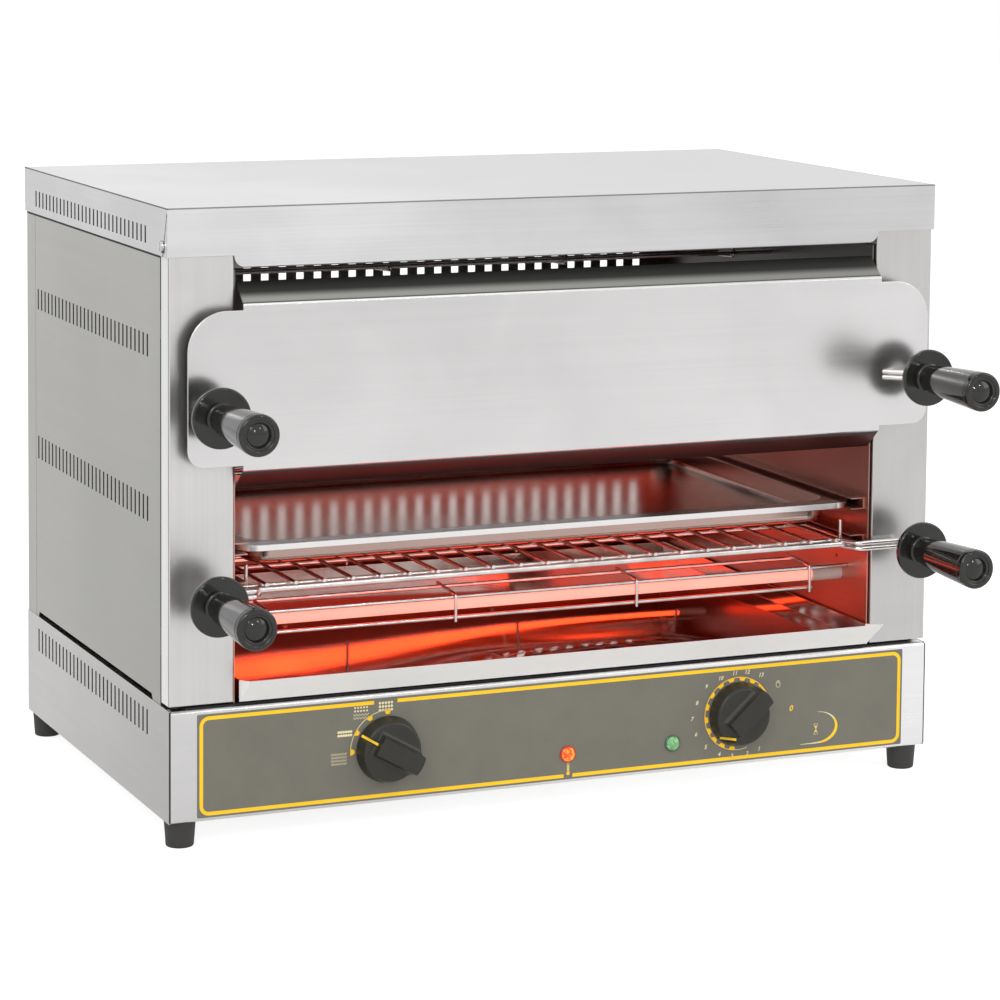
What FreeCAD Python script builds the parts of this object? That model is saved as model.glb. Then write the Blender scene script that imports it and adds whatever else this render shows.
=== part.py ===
import FreeCAD, Part
import math
import os

from FreeCAD import Vector

# Countertop cheese melter with two working levels, in millimetres.
# +Z is up and the front faces -Y. The origin lies on the bench, at the middle of
# the box that holds the whole machine, handles and cable gland included.

# Driving sizes of the casing
body_width = 640.0
body_depth = 380.0
foot_height = 20.0
base_height = 85.0
body_height = 372.0
sheet = 1.0
seam = 1.0
overrun = 5.0

# Upper handles and rear gland, which set the overall depth
handle_reach = 126.0
gland_reach = 22.0

# Front uprights
pillar_width = 50.0
pillar_return = 18.0
pillar_inner_return = 14.0
pillar_gap_below = 3.0
pillar_tab = 8.0
pillar_bend = 0.8

# Top cover
cover_clearance = 0.5
cover_flange = 36.0
tongue_drop = 8.5
tongue_radius = 8.0
cover_rear_flange = 30.0
cover_corner_gap = 0.8
cover_corner_web = 3.0
cover_vent_height = 13.0
cover_vent_below_top = 17.0

# Vent slots shared by the cover, the sides and the base
vent_count = 30
vent_row_margin = 84.2
vent_width = 3.4
vent_mid_offset = 9.5

# Side panels
upper_vent_height = 17.0
upper_vent_drop = 79.0
lower_vent_height = 19.0
lower_vent_above_base = 133.0
side_return = 12.0
side_slot_height = 4.5
side_slot_front_inset = 42.0
side_slot_rear_inset = 21.0
side_slot_slant = 6.0
notch_height = 21.0
notch_depth = 1.5
upper_notch_drop = 62.0
lower_notch_above_base = 38.0

# Rear panel and grille
rear_wrap = 24.0
rear_window_margin = 12.0
grille_gap = 0.3
grille_columns = 31
grille_side_margin = 28.0
grille_slot_width = 7.0
grille_low_above_base = 107.0
grille_mid_above_base = 202.0
grille_below_ceiling = 38.0
grille_bridge = 12.0
grille_stiffener = 8.0

# Cavity lining
liner_gap = 1.0
liner_front_inset = 3.0
liner_foot = 14.0
ceiling_below_top = 47.0

# Base housing
base_proud = 2.5
base_front_fold = 9.0
base_fold_radius = 3.0
base_fold = 20.0
base_vent_height = 19.0
base_vent_above_bottom = 56.0
base_corner_gap = 0.7

# Control label
label_side_inset = 21.0
label_height = 78.0
label_above_bottom = 3.0
label_thickness = 0.5
label_corner = 1.0

# Feet
foot_top = 24.0
foot_tip = 21.0
foot_inset = 12.2
foot_bore = 5.4
foot_recess = 12.0
foot_recess_depth = 8.0
foot_edge = 1.5
foot_screw = 5.0
foot_screw_head = 9.5
foot_screw_head_height = 3.5
foot_nut = 8.0
foot_nut_height = 4.0

# Panel screws
screw = 4.0
screw_head = 7.5
screw_head_height = 2.2
screw_length = 9.0
screw_slot = 1.0
screw_slot_depth = 0.9
screw_clearance = 0.3
side_screw_share = 0.95
rear_screw_shares = (0.3, 0.9)

# Working heights: the lower ones from the top of the base, the upper ones down from above
lower_level = 84.0
pan_level = 116.5
lower_tube_level = 52.5
upper_level_below_ceiling = 102.0
upper_tube_below_ceiling = 16.0
middle_tube_below_rack = 56.0

# Wire racks
frame_wire = 5.0
cross_wire = 3.0
stem_wire = 4.0
cross_count = 22
cross_side_inset = 21.0
weld_sink = 0.6
rack_side_gap = 5.5
rack_front_inset = 4.5
rack_rear_gap = 37.2
rack_corner = 9.0
stay_wire = 4.0
front_stay_offset = 14.0
stay_count = 6
first_stay_offset = 84.0
last_stay_offset = 46.0
stop_height = 15.0
stop_wire = 3.0

# Runners
runner_reach = 12.0
runner_lip_gap = 3.0
runner_play = 0.3
runner_front_inset = 6.0
runner_rear_inset = 4.0

# Front shield on the upper rack
shield_side_inset = 10.0
shield_height = 122.0
shield_below_rack = 44.5
shield_thickness = 1.5
shield_stand_off = 12.5
shield_middle_gap = 3.0
shield_top_radius = 30.0
shield_foot_radius = 13.0
shield_fold = 24.0
shield_fold_angle = 41.0
shield_ear_drop = 3.5

# Handles
handle_inset = 26.0
handle_length = 86.0
disc_diameter = 45.0
disc_thickness = 5.0
disc_edge = 1.2
neck_diameter = 19.0
neck_length = 7.0
grip_root = 23.0
grip_tip = 30.5
grip_edge = 3.0
cap_recess = 20.0
cap_recess_depth = 1.6
ferrule_diameter = 14.0
ferrule_length = 7.0
stem_spacing = 4.4
lower_stem_stand_off = 6.0
stem_bend = 8.0
stem_turn = 4.8
lower_handle_setback = 4.0
stem_embed = 3.0

# Shallow pan
pan_side_gap = 5.0
pan_rear_gap = 40.7
pan_height = 18.0
pan_sheet = 1.0
pan_flange = 15.0
pan_lip = 4.5
pan_corner = 22.0
pan_floor_radius = 5.0
pan_front_inset = 12.0

# Crumb tray
tray_side_gap = 2.0
tray_height = 13.0
tray_floor_above_base = 6.0
tray_lip_rise = 21.0
tray_lip_reach = 27.0
tray_lip_below_floor = 3.0
tray_rear_gap = 12.0
tray_front_gap = 2.0
tray_play = 0.3
tray_guide_inset = 14.0
tray_guide_width = 10.0

# Quartz tubes
tube_diameter = 10.5
tube_wall = 1.2
fit_clearance = 0.1
filament = 5.0
tube_cap = 12.5
tube_cap_length = 44.0
tube_cap_inside = 27.0
tube_cap_grip = 6.0
tube_cap_collar = 17.0
tube_cap_collar_length = 4.0
terminal_stud = 3.0
terminal_stud_length = 7.0
busbar_width = 8.0
busbar = 1.2
tube_hole_play = 0.3
lower_tube_front_inset = 49.0
lower_tube_rear_inset = 95.0
middle_tube_front_inset = 95.0
middle_tube_rear_inset = 95.0
upper_tube_rear_inset = 72.0

# Wire guards round the tubes
guard_wire = 3.0
guard_tie_wire = 2.5
guard_front_offset = 13.0
guard_rear_offset = 19.0
guard_near_rise = 7.5
guard_far_rise = 9.5
guard_low_rise = 8.5
guard_tie_inset = 35.5
guard_tie_count = 4
guard_end_past_tie = 3.0
guard_weld = 0.5
guard_head = 6.0
guard_head_length = 1.2

# Rotary knobs
knob_diameter = 51.0
knob_top = 46.8
knob_body = 11.0
knob_height = 17.0
knob_edge = 1.2
knob_bar = 15.0
knob_bar_start = 14.0
knob_groove = 4.0
knob_panel_gap = 1.0
knob_socket_depth = 11.0
knob_bar_reach = 25.0
selector_left = 148.0
timer_right = 150.0
knob_above_bottom = 41.5
selector_rest_angle = 150.0
timer_rest_angle = 222.0
shaft_diameter = 6.0
shaft_clearance = 0.05
shaft_hole = 8.0
shaft_tail = 6.0

# Switch, timer and lamps behind the label
switch_size = 46.0
switch_depth = 42.0
switch_edge = 3.0
timer_size = 50.0
timer_depth = 38.0
lamp_above_bottom = 23.0
heating_lamp_right = 2.2
power_lamp_right = 92.5
lamp_lens = 11.0
lamp_bezel = 13.5
lamp_bezel_height = 1.4
lamp_dome = 3.6
lamp_barrel = 10.0
lamp_depth = 26.0
lamp_play = 0.2

# Supply parts in the base
terminal_length = 60.0
terminal_width = 22.0
terminal_height = 20.0
terminal_poles = 5
terminal_slot = 1.6
terminal_slot_depth = 6.0
terminal_from_right = 120.0
terminal_from_rear = 60.0
gland_across = 22.0
gland_hex = 5.0
gland_neck = 17.0
gland_bore = 9.0
gland_thread = 15.5
gland_inside = 9.0
gland_nut = 20.0
gland_nut_length = 4.0
gland_from_right = 75.0
gland_above_bottom = 32.0
harness_wire = 6.0
harness_bend = 12.0
harness_play = 0.2
harness_lead = 4.0
harness_hole = 8.0
harness_left_offset = 8.0
harness_right_offset = 38.0

# Datums worked out from the sizes above
overall_depth = handle_reach + body_depth + gland_reach
front_face = handle_reach - overall_depth / 2.0
rear_face = front_face + body_depth
half_width = body_width / 2.0
base_bottom = foot_height
base_top = base_bottom + base_height
body_top = base_top + body_height
body_middle = (front_face + rear_face) / 2.0
opening_half = half_width - pillar_width
liner_face = opening_half - liner_gap - sheet
grille_front = rear_face - sheet - grille_gap - sheet
cavity_front = front_face + liner_front_inset
ceiling = body_top - ceiling_below_top
cavity_floor = base_top + sheet
skin_top = body_top - sheet
handle_half = half_width - handle_inset
cover_low = body_top - cover_flange
vent_middle = body_middle + vent_mid_offset
vent_pitch = (body_depth - vent_row_margin) / (vent_count - 1)
grille_pitch = 2.0 * (liner_face - grille_side_margin) / (grille_columns - 1)
grille_high_above_base = ceiling - base_top - grille_below_ceiling
upper_level = ceiling - base_top - upper_level_below_ceiling
upper_tube_level = ceiling - base_top - upper_tube_below_ceiling
middle_tube_level = upper_level - middle_tube_below_rack
guard_tie_pitch = 2.0 * (liner_face - guard_tie_inset) / (guard_tie_count - 1)


def box(x0, x1, y0, y1, z0, z1):
    """Block between two corners."""
    return Part.makeBox(x1 - x0, y1 - y0, z1 - z0, Vector(x0, y0, z0))


def rod(start, end, diameter):
    """Round bar from one point to another."""
    run = end.sub(start)
    return Part.makeCylinder(diameter / 2.0, run.Length, start, run)


def joined(shapes):
    """One solid from overlapping solids."""
    whole = shapes[0].multiFuse(shapes[1:])
    return whole.removeSplitter()


def less(shape, cutters):
    """A solid with all the cutters taken out of it."""
    return shape.cut(Part.makeCompound(cutters))


def mirrored(shape):
    """The same shape on the other side of the middle plane."""
    return shape.mirror(Vector(0, 0, 0), Vector(1, 0, 0))


def prism(points, direction):
    """Straight-sided block from a closed outline, pushed along a direction."""
    outline = Part.makePolygon(points + [points[0]])
    return Part.Face(outline).extrude(direction)


def path_wire(points, bend):
    """Runs between the points, with a tangent arc of one radius at each corner."""
    edges = []
    start = points[0]
    for here, following in zip(points[1:-1], points[2:]):
        into = here.sub(start).normalize()
        out = following.sub(here).normalize()
        turn = into.getAngle(out)
        back = bend * math.tan(turn / 2.0)
        before = here.sub(Vector(into).multiply(back))
        after = here.add(Vector(out).multiply(back))
        inward = out.sub(into).normalize()
        centre_far = bend / math.cos(turn / 2.0)
        middle = here.add(Vector(inward).multiply(centre_far - bend))
        edges.append(Part.LineSegment(start, before).toShape())
        edges.append(Part.Arc(before, middle, after).toShape())
        start = after
    edges.append(Part.LineSegment(start, points[-1]).toShape())
    return Part.Wire(edges)


def bent_rod(points, diameter, bend):
    """Round wire along runs and tangent arcs."""
    spine = path_wire(points, bend)
    heading = points[1].sub(points[0])
    ring = Part.Wire(Part.makeCircle(diameter / 2.0, points[0], heading))
    return spine.makePipeShell([ring], True, False)


def rounded_plate(x0, x1, z0, z1, y0, y1, radius):
    """Upright plate with four round corners."""
    plate = box(x0, x1, y0, y1, z0, z1)
    corners = []
    for edge in plate.Edges:
        ends = edge.Vertexes
        if abs(ends[0].Point.y - ends[1].Point.y) > (y1 - y0) / 2.0:
            corners.append(edge)
    return plate.makeFillet(radius, corners)


def slot_row(z0, z1, x0, x1):
    """Row of upright vents cut through a side wall, along Y."""
    first = vent_middle - vent_pitch * (vent_count - 1) / 2.0
    slots = []
    for index in range(vent_count):
        place = first + vent_pitch * index
        slots.append(box(x0, x1, place - vent_width / 2.0, place + vent_width / 2.0, z0, z1))
    return slots


def panel_screw(place, outward):
    """Pan head screw whose head sits on a panel and whose shank goes inwards."""
    axis = Vector(outward).normalize()
    inward = Vector(axis).multiply(-1)
    head = Part.makeCylinder(screw_head / 2.0, screw_head_height, place, axis)
    shank = Part.makeCylinder(screw / 2.0, screw_length, place, inward)
    top = place.add(Vector(axis).multiply(screw_head_height - screw_slot_depth))
    across = Vector(0, 0, 1)
    side = axis.cross(across)
    corner = top.sub(Vector(across).multiply(screw_head / 2.0))
    corner = corner.sub(Vector(side).multiply(screw_slot / 2.0))
    outline = [
        corner,
        corner.add(Vector(across).multiply(screw_head)),
        corner.add(Vector(across).multiply(screw_head)).add(Vector(side).multiply(screw_slot)),
        corner.add(Vector(side).multiply(screw_slot)),
    ]
    slot = prism(outline, Vector(axis).multiply(screw_head_height))
    return joined([head, shank]).cut(slot)


def screw_places():
    """Places and directions of the screws that hold the outer panels."""
    side = half_width + cover_clearance + sheet
    back = rear_face + cover_clearance + sheet
    cover_row = cover_low + cover_flange / 3.0
    corner_row = cover_low + screw_head
    side_offset = side_screw_share * body_depth / 2.0
    low_row = (base_top + base_top + grille_low_above_base - rear_window_margin) / 2.0
    places = []
    for sign in (-1, 1):
        outward = Vector(sign, 0, 0)
        spot = Vector(sign * side, body_middle - side_offset, corner_row)
        places.append((spot, outward))
        for share in rear_screw_shares:
            across = sign * half_width * share
            places.append((Vector(across, back, cover_row), Vector(0, 1, 0)))
            places.append((Vector(across, rear_face, low_row), Vector(0, 1, 0)))
    return places


def screw_holes():
    """Clearance holes for the panel screws."""
    holes = []
    for place, outward in screw_places():
        inward = Vector(outward).multiply(-1)
        start = place.add(Vector(outward).multiply(overrun))
        radius = screw / 2.0 + screw_clearance
        holes.append(Part.makeCylinder(radius, overrun + screw_length + screw, start, inward))
    return holes


def top_cover():
    """Folded lid: flat top, vented side flanges and a front flange with a tongue."""
    out_x = half_width + cover_clearance + sheet
    out_front = front_face - cover_clearance - sheet
    out_rear = rear_face + cover_clearance + sheet
    low = cover_low
    shell = box(-out_x, out_x, out_front, out_rear, low, body_top)
    hollow = box(-out_x + sheet, out_x - sheet, out_front + sheet, out_rear - sheet,
                 low - overrun, body_top - sheet)
    tongue_low = low - tongue_drop
    tongue = box(-opening_half, opening_half, out_front, out_front + sheet,
                 tongue_low, low + tongue_radius)
    corners = []
    for edge in tongue.Edges:
        spot = edge.CenterOfMass
        along_y = abs(edge.Vertexes[0].Point.y - edge.Vertexes[1].Point.y) > sheet / 2.0
        if along_y and spot.z < low:
            corners.append(edge)
    tongue = tongue.makeFillet(tongue_radius, corners)
    cover = joined([shell.cut(hollow), tongue])
    vent_top = body_top - cover_vent_below_top
    vents = slot_row(vent_top - cover_vent_height, vent_top, -out_x - overrun, out_x + overrun)
    seams = []
    for sign in (-1, 1):
        inner = sign * (out_x - sheet)
        outer = sign * (out_x + overrun)
        seams.append(box(min(inner, outer), max(inner, outer), out_front + sheet,
                         out_front + sheet + cover_corner_gap, low - overrun,
                         body_top - cover_corner_web))
    rear_cut = box(-out_x - overrun, out_x + overrun, out_rear - sheet, out_rear + overrun,
                   low - overrun, body_top - cover_rear_flange)
    return less(cover, vents + seams + [rear_cut] + screw_holes())


def side_panel():
    """Right outer skin with two rows of vents and a long slot over the base."""
    front = front_face + pillar_return + seam
    rear = rear_face - rear_wrap - seam
    low = base_top
    high = skin_top
    skin = box(half_width - sheet, half_width, front, rear, low, high)
    front_fold = box(half_width - side_return, half_width, front, front + sheet, low, high)
    rear_fold = box(half_width - side_return, half_width, rear - sheet, rear, low, high)
    panel = joined([skin, front_fold, rear_fold])
    cutters = []
    for z0, height in ((cover_low - upper_vent_drop, upper_vent_height),
                       (base_top + lower_vent_above_base, lower_vent_height)):
        cutters += slot_row(z0, z0 + height, half_width - sheet - overrun, half_width + overrun)
    slot_front = front_face + side_slot_front_inset
    slot_rear = rear_face - side_slot_rear_inset - rear_wrap / 2.0
    slot_top = base_top + side_slot_height
    x0 = half_width - sheet - side_return - overrun
    outline = [
        Vector(x0, slot_front - side_slot_slant, low - overrun),
        Vector(x0, slot_front, slot_top),
        Vector(x0, slot_rear, slot_top),
        Vector(x0, slot_rear + side_slot_slant, low - overrun),
    ]
    cutters.append(prism(outline, Vector(side_return + sheet + 2.0 * overrun, 0, 0)))
    for z0 in (cover_low - upper_notch_drop, base_top + lower_notch_above_base):
        cutters.append(box(half_width - side_return - overrun, half_width + overrun,
                           front - overrun, front + notch_depth, z0, z0 + notch_height))
    return less(panel, cutters + screw_holes())


def pillar():
    """Right front upright: face, outer return and inner return."""
    low = base_top + pillar_gap_below
    high = skin_top
    face = box(opening_half, half_width, front_face, front_face + sheet, low, high)
    outer = box(half_width - sheet, half_width, front_face, front_face + pillar_return, low, high)
    inner = box(opening_half, opening_half + sheet, front_face,
                front_face + pillar_inner_return, low, high)
    foot = box(opening_half, half_width, front_face, front_face + pillar_inner_return,
               low, low + sheet)
    tab_end = front_face + pillar_inner_return
    tab = box(opening_half, opening_half + sheet, tab_end - pillar_tab, tab_end,
              cavity_floor, low + sheet)
    post = joined([face, outer, inner, foot, tab])
    bends = []
    for edge in post.Edges:
        ends = edge.Vertexes
        if len(ends) == 2 and abs(ends[0].Point.z - ends[1].Point.z) > body_height / 2.0:
            if abs(ends[0].Point.y - front_face) < sheet / 4.0:
                bends.append(edge)
    post = post.makeFillet(pillar_bend, bends)
    return less(post, screw_holes())


def rear_panel():
    """Rear sheet that wraps round both sides, with a window for the grille."""
    low = base_top
    high = skin_top
    back = box(-half_width, half_width, rear_face - sheet, rear_face, low, high)
    wraps = []
    for sign in (-1, 1):
        x0 = sign * half_width
        x1 = sign * (half_width - sheet)
        wraps.append(box(min(x0, x1), max(x0, x1), rear_face - rear_wrap, rear_face, low, high))
    panel = joined([back] + wraps)
    half_window = grille_half() + rear_window_margin
    window = box(-half_window, half_window, rear_face - sheet - overrun, rear_face + overrun,
                 base_top + grille_low_above_base - rear_window_margin,
                 base_top + grille_high_above_base + rear_window_margin)
    return less(panel, [window] + screw_holes())


def grille_half():
    """Half the width of the slotted field."""
    return grille_pitch * (grille_columns - 1) / 2.0 + grille_slot_width / 2.0


def rear_grille():
    """Back wall of the cavity with tall upright slots."""
    low = cavity_floor
    high = ceiling
    wall = box(-liner_face, liner_face, grille_front, grille_front + sheet, low, high)
    rows = (
        (grille_low_above_base, grille_mid_above_base - grille_bridge / 2.0),
        (grille_mid_above_base + grille_bridge / 2.0, grille_high_above_base),
    )
    slots = []
    for bottom, top in rows:
        for index in range(grille_columns):
            x = grille_pitch * (index - (grille_columns - 1) / 2.0)
            slots.append(box(x - grille_slot_width / 2.0, x + grille_slot_width / 2.0,
                             grille_front - overrun, grille_front + sheet + overrun,
                             base_top + bottom, base_top + top))
    fold = box(-liner_face, liner_face, grille_front - grille_stiffener, grille_front + sheet,
               high - sheet, high)
    return joined([less(wall, slots + screw_holes()), fold])


def tube_places():
    """Name, place and guard side of every quartz tube; guard side +1 is above it."""
    return (
        ("lower_tube_front", front_face + lower_tube_front_inset, lower_tube_level, 1),
        ("lower_tube_rear", rear_face - lower_tube_rear_inset, lower_tube_level, 1),
        ("middle_tube_front", front_face + middle_tube_front_inset, middle_tube_level, -1),
        ("middle_tube_rear", rear_face - middle_tube_rear_inset, middle_tube_level, -1),
        ("upper_tube_front", body_middle, upper_tube_level, -1),
        ("upper_tube_rear", rear_face - upper_tube_rear_inset, upper_tube_level, -1),
    )


def liner():
    """Right cavity wall with holes for the tube ends and the guard wires."""
    rear = grille_front + sheet
    wall = box(liner_face, liner_face + sheet, cavity_front, rear, cavity_floor, ceiling)
    foot = box(liner_face, liner_face + liner_foot, cavity_front + pillar_inner_return, rear,
               cavity_floor, cavity_floor + sheet)
    wall = joined([wall, foot])
    holes = []
    for name, y, level, side in tube_places():
        z = base_top + level
        centre = Vector(liner_face - overrun, y, z)
        holes.append(Part.makeCylinder(tube_cap / 2.0 + tube_hole_play, sheet + 2.0 * overrun,
                                       centre, Vector(1, 0, 0)))
        near = Vector(liner_face - overrun, y - guard_front_offset, z + side * guard_near_rise)
        holes.append(Part.makeCylinder(guard_wire / 2.0 + tube_hole_play, sheet + 2.0 * overrun,
                                       near, Vector(1, 0, 0)))
    return less(wall, holes)


def top_reflector():
    """Ceiling of the cavity, with a skirt up to the cover behind the tongue."""
    front = front_face + pillar_inner_return + seam
    rear = grille_front + sheet
    plate = box(-opening_half, opening_half, front, rear, ceiling, ceiling + sheet)
    skirt = box(-opening_half, opening_half, front, front + sheet, ceiling, skin_top)
    back = box(-opening_half, opening_half, rear - sheet, rear, ceiling, skin_top)
    return less(joined([plate, skirt, back]), screw_holes())


def chamber_floor():
    """Bottom of the cavity, which also closes the control box."""
    half = half_width - side_return - seam
    plate = box(-half, half, front_face + sheet, rear_face - sheet, base_top, cavity_floor)
    holes = []
    for sign in (-1, 1):
        foot = Vector(sign * loom_line(), loom_depth(sign), base_top - overrun)
        holes.append(Part.makeCylinder(harness_hole / 2.0, sheet + 2.0 * overrun, foot))
    return less(plate, holes)


def runner(low, gap):
    """Right channel that carries the side of a rack or pan."""
    face = liner_face
    front = cavity_front + runner_front_inset
    rear = grille_front - runner_rear_inset
    inner = face - runner_reach
    web = box(face - sheet, face, front, rear, low - sheet, low + gap + sheet)
    shelf = box(inner, face, front, rear, low - sheet, low)
    lip = box(inner, face, front, rear, low + gap, low + gap + sheet)
    return joined([web, shelf, lip])


def runner_pair(low, gap):
    """Left and right channels of one level."""
    right = runner(low, gap)
    return Part.makeCompound([mirrored(right), right])


def rack_half():
    """Half the rack's width, to the outside of its side wires."""
    return liner_face - rack_side_gap


def rack(level, stem_maker):
    """Wire rack: round-cornered frame, stays, cross wires, stops and handle stems."""
    z = base_top + level
    half = rack_half() - frame_wire / 2.0
    front = front_face + rack_front_inset + frame_wire / 2.0
    rear = grille_front - rack_rear_gap - frame_wire / 2.0
    middle = Vector(0, front, z)
    corners = [
        middle,
        Vector(half, front, z),
        Vector(half, rear, z),
        Vector(-half, rear, z),
        Vector(-half, front, z),
        middle,
    ]
    pieces = [bent_rod(corners, frame_wire, rack_corner)]
    first_stay = front + first_stay_offset
    stay_pitch = (rear - last_stay_offset - first_stay) / (stay_count - 1)
    stays = [front + front_stay_offset]
    for index in range(stay_count):
        stays.append(first_stay + stay_pitch * index)
    for y in stays:
        pieces.append(rod(Vector(-half, y, z), Vector(half, y, z), stay_wire))
    lift = frame_wire / 2.0 + cross_wire / 2.0 - weld_sink
    cross_pitch = 2.0 * (rack_half() - cross_side_inset) / (cross_count - 1)
    for index in range(cross_count):
        x = cross_pitch * (index - (cross_count - 1) / 2.0)
        pieces.append(rod(Vector(x, front - weld_sink, z + lift),
                          Vector(x, rear + weld_sink, z + lift), cross_wire))
    for sign in (-1, 1):
        pieces += stem_maker(sign, half, front, z)
    return joined(pieces)


def rack_stops(level):
    """Two short upright wires on the first stay, just inside the runners."""
    z = base_top + level + stay_wire / 2.0
    y = front_face + rack_front_inset + frame_wire / 2.0 + front_stay_offset
    x = liner_face - runner_reach - stop_wire
    posts = []
    for sign in (-1, 1):
        foot = Vector(sign * x, y, z)
        posts.append(rod(foot, foot.add(Vector(0, 0, stop_height)), stop_wire))
    return Part.makeCompound(posts)


def upper_stems(sign, half, front, z):
    """Two straight wires at 45 degrees, through the shield and into the ferrule."""
    end_y = upper_handle_back() - stem_embed
    start_x = handle_half - (front - end_y)
    stems = []
    for side in (-1, 1):
        height = z + side * stem_spacing / 2.0
        start = Vector(sign * start_x, front, height)
        end = Vector(sign * handle_half, end_y, height)
        stems.append(rod(start, end, stem_wire))
    return stems


def lower_stems(sign, half, front, z):
    """Hairpin pair that runs out in front of the upright and turns forward."""
    line = front_face - lower_stem_stand_off
    end_y = lower_handle_back() - stem_embed
    inside = half - frame_wire - stem_bend
    stems = []
    for side in (-1, 1):
        height = z + side * stem_spacing / 2.0
        points = [
            Vector(sign * inside, front, height),
            Vector(sign * (inside + stem_bend), line, height),
            Vector(sign * handle_half, line, height),
            Vector(sign * handle_half, end_y, height),
        ]
        stems.append(bent_rod(points, stem_wire, stem_turn))
    return stems


def upper_handle_back():
    """Y of the rear end of an upper handle's ferrule."""
    return front_face - handle_reach + handle_length + ferrule_length


def lower_handle_back():
    """Y of the rear end of a lower handle's ferrule."""
    return upper_handle_back() + lower_handle_setback


def stem_holes(back, level, grow):
    """Round channels that the stems fill, made a little larger by grow."""
    holes = []
    z = base_top + level
    end_y = back - stem_embed
    if level == upper_level:
        start_y = front_face + rack_front_inset + frame_wire / 2.0
        start_x = handle_half - (start_y - end_y)
    else:
        start_y = back + overrun
        start_x = handle_half
    for sign in (-1, 1):
        for side in (-1, 1):
            height = z + side * stem_spacing / 2.0
            start = Vector(sign * start_x, start_y, height)
            end = Vector(sign * handle_half, end_y, height)
            run = end.sub(start).normalize()
            holes.append(rod(start, end.add(run.multiply(grow)), stem_wire + 2.0 * grow))
    return holes


def handle(sign, back, level):
    """Turned black handle: guard disc, neck, tapered grip and recessed end."""
    rear = back - ferrule_length
    end = rear - handle_length
    z = base_top + level
    x = sign * handle_half
    disc_front = rear - disc_thickness
    grip_start = disc_front - neck_length
    radius_disc = disc_diameter / 2.0
    radius_tip = grip_tip / 2.0
    edge_arc = math.sin(math.radians(45.0))
    outline = [
        Part.LineSegment(Vector(0, rear, 0), Vector(radius_disc - disc_edge, rear, 0)),
        Part.Arc(Vector(radius_disc - disc_edge, rear, 0),
                 Vector(radius_disc - disc_edge * (1.0 - edge_arc),
                        rear - disc_edge * (1.0 - edge_arc), 0),
                 Vector(radius_disc, rear - disc_edge, 0)),
        Part.LineSegment(Vector(radius_disc, rear - disc_edge, 0),
                         Vector(radius_disc, disc_front + disc_edge, 0)),
        Part.Arc(Vector(radius_disc, disc_front + disc_edge, 0),
                 Vector(radius_disc - disc_edge * (1.0 - edge_arc),
                        disc_front + disc_edge * (1.0 - edge_arc), 0),
                 Vector(radius_disc - disc_edge, disc_front, 0)),
        Part.LineSegment(Vector(radius_disc - disc_edge, disc_front, 0),
                         Vector(neck_diameter / 2.0, disc_front, 0)),
        Part.LineSegment(Vector(neck_diameter / 2.0, disc_front, 0),
                         Vector(neck_diameter / 2.0, grip_start, 0)),
        Part.LineSegment(Vector(neck_diameter / 2.0, grip_start, 0),
                         Vector(grip_root / 2.0, grip_start - neck_length / 2.0, 0)),
        Part.LineSegment(Vector(grip_root / 2.0, grip_start - neck_length / 2.0, 0),
                         Vector(radius_tip, end + grip_edge, 0)),
        Part.Arc(Vector(radius_tip, end + grip_edge, 0),
                 Vector(radius_tip - grip_edge * (1.0 - edge_arc),
                        end + grip_edge * (1.0 - edge_arc), 0),
                 Vector(radius_tip - grip_edge, end, 0)),
        Part.LineSegment(Vector(radius_tip - grip_edge, end, 0), Vector(cap_recess / 2.0, end, 0)),
        Part.LineSegment(Vector(cap_recess / 2.0, end, 0),
                         Vector(cap_recess / 2.0 - cap_recess_depth, end + cap_recess_depth, 0)),
        Part.LineSegment(Vector(cap_recess / 2.0 - cap_recess_depth, end + cap_recess_depth, 0),
                         Vector(0, end + cap_recess_depth, 0)),
        Part.LineSegment(Vector(0, end + cap_recess_depth, 0), Vector(0, rear, 0)),
    ]
    face = Part.Face(Part.Wire([piece.toShape() for piece in outline]))
    turned = face.revolve(Vector(0, 0, 0), Vector(0, 1, 0), 360.0)
    turned.translate(Vector(x, 0, z))
    return turned


def ferrules(back, level):
    """Steel collars that take the stem wires behind the guard discs."""
    z = base_top + level
    rings = []
    for sign in (-1, 1):
        centre = Vector(sign * handle_half, back, z)
        rings.append(Part.makeCylinder(ferrule_diameter / 2.0, ferrule_length, centre,
                                       Vector(0, -1, 0)))
    holes = Part.makeCompound(stem_holes(back, level, fit_clearance))
    return Part.makeCompound([ring.cut(holes) for ring in rings])


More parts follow.
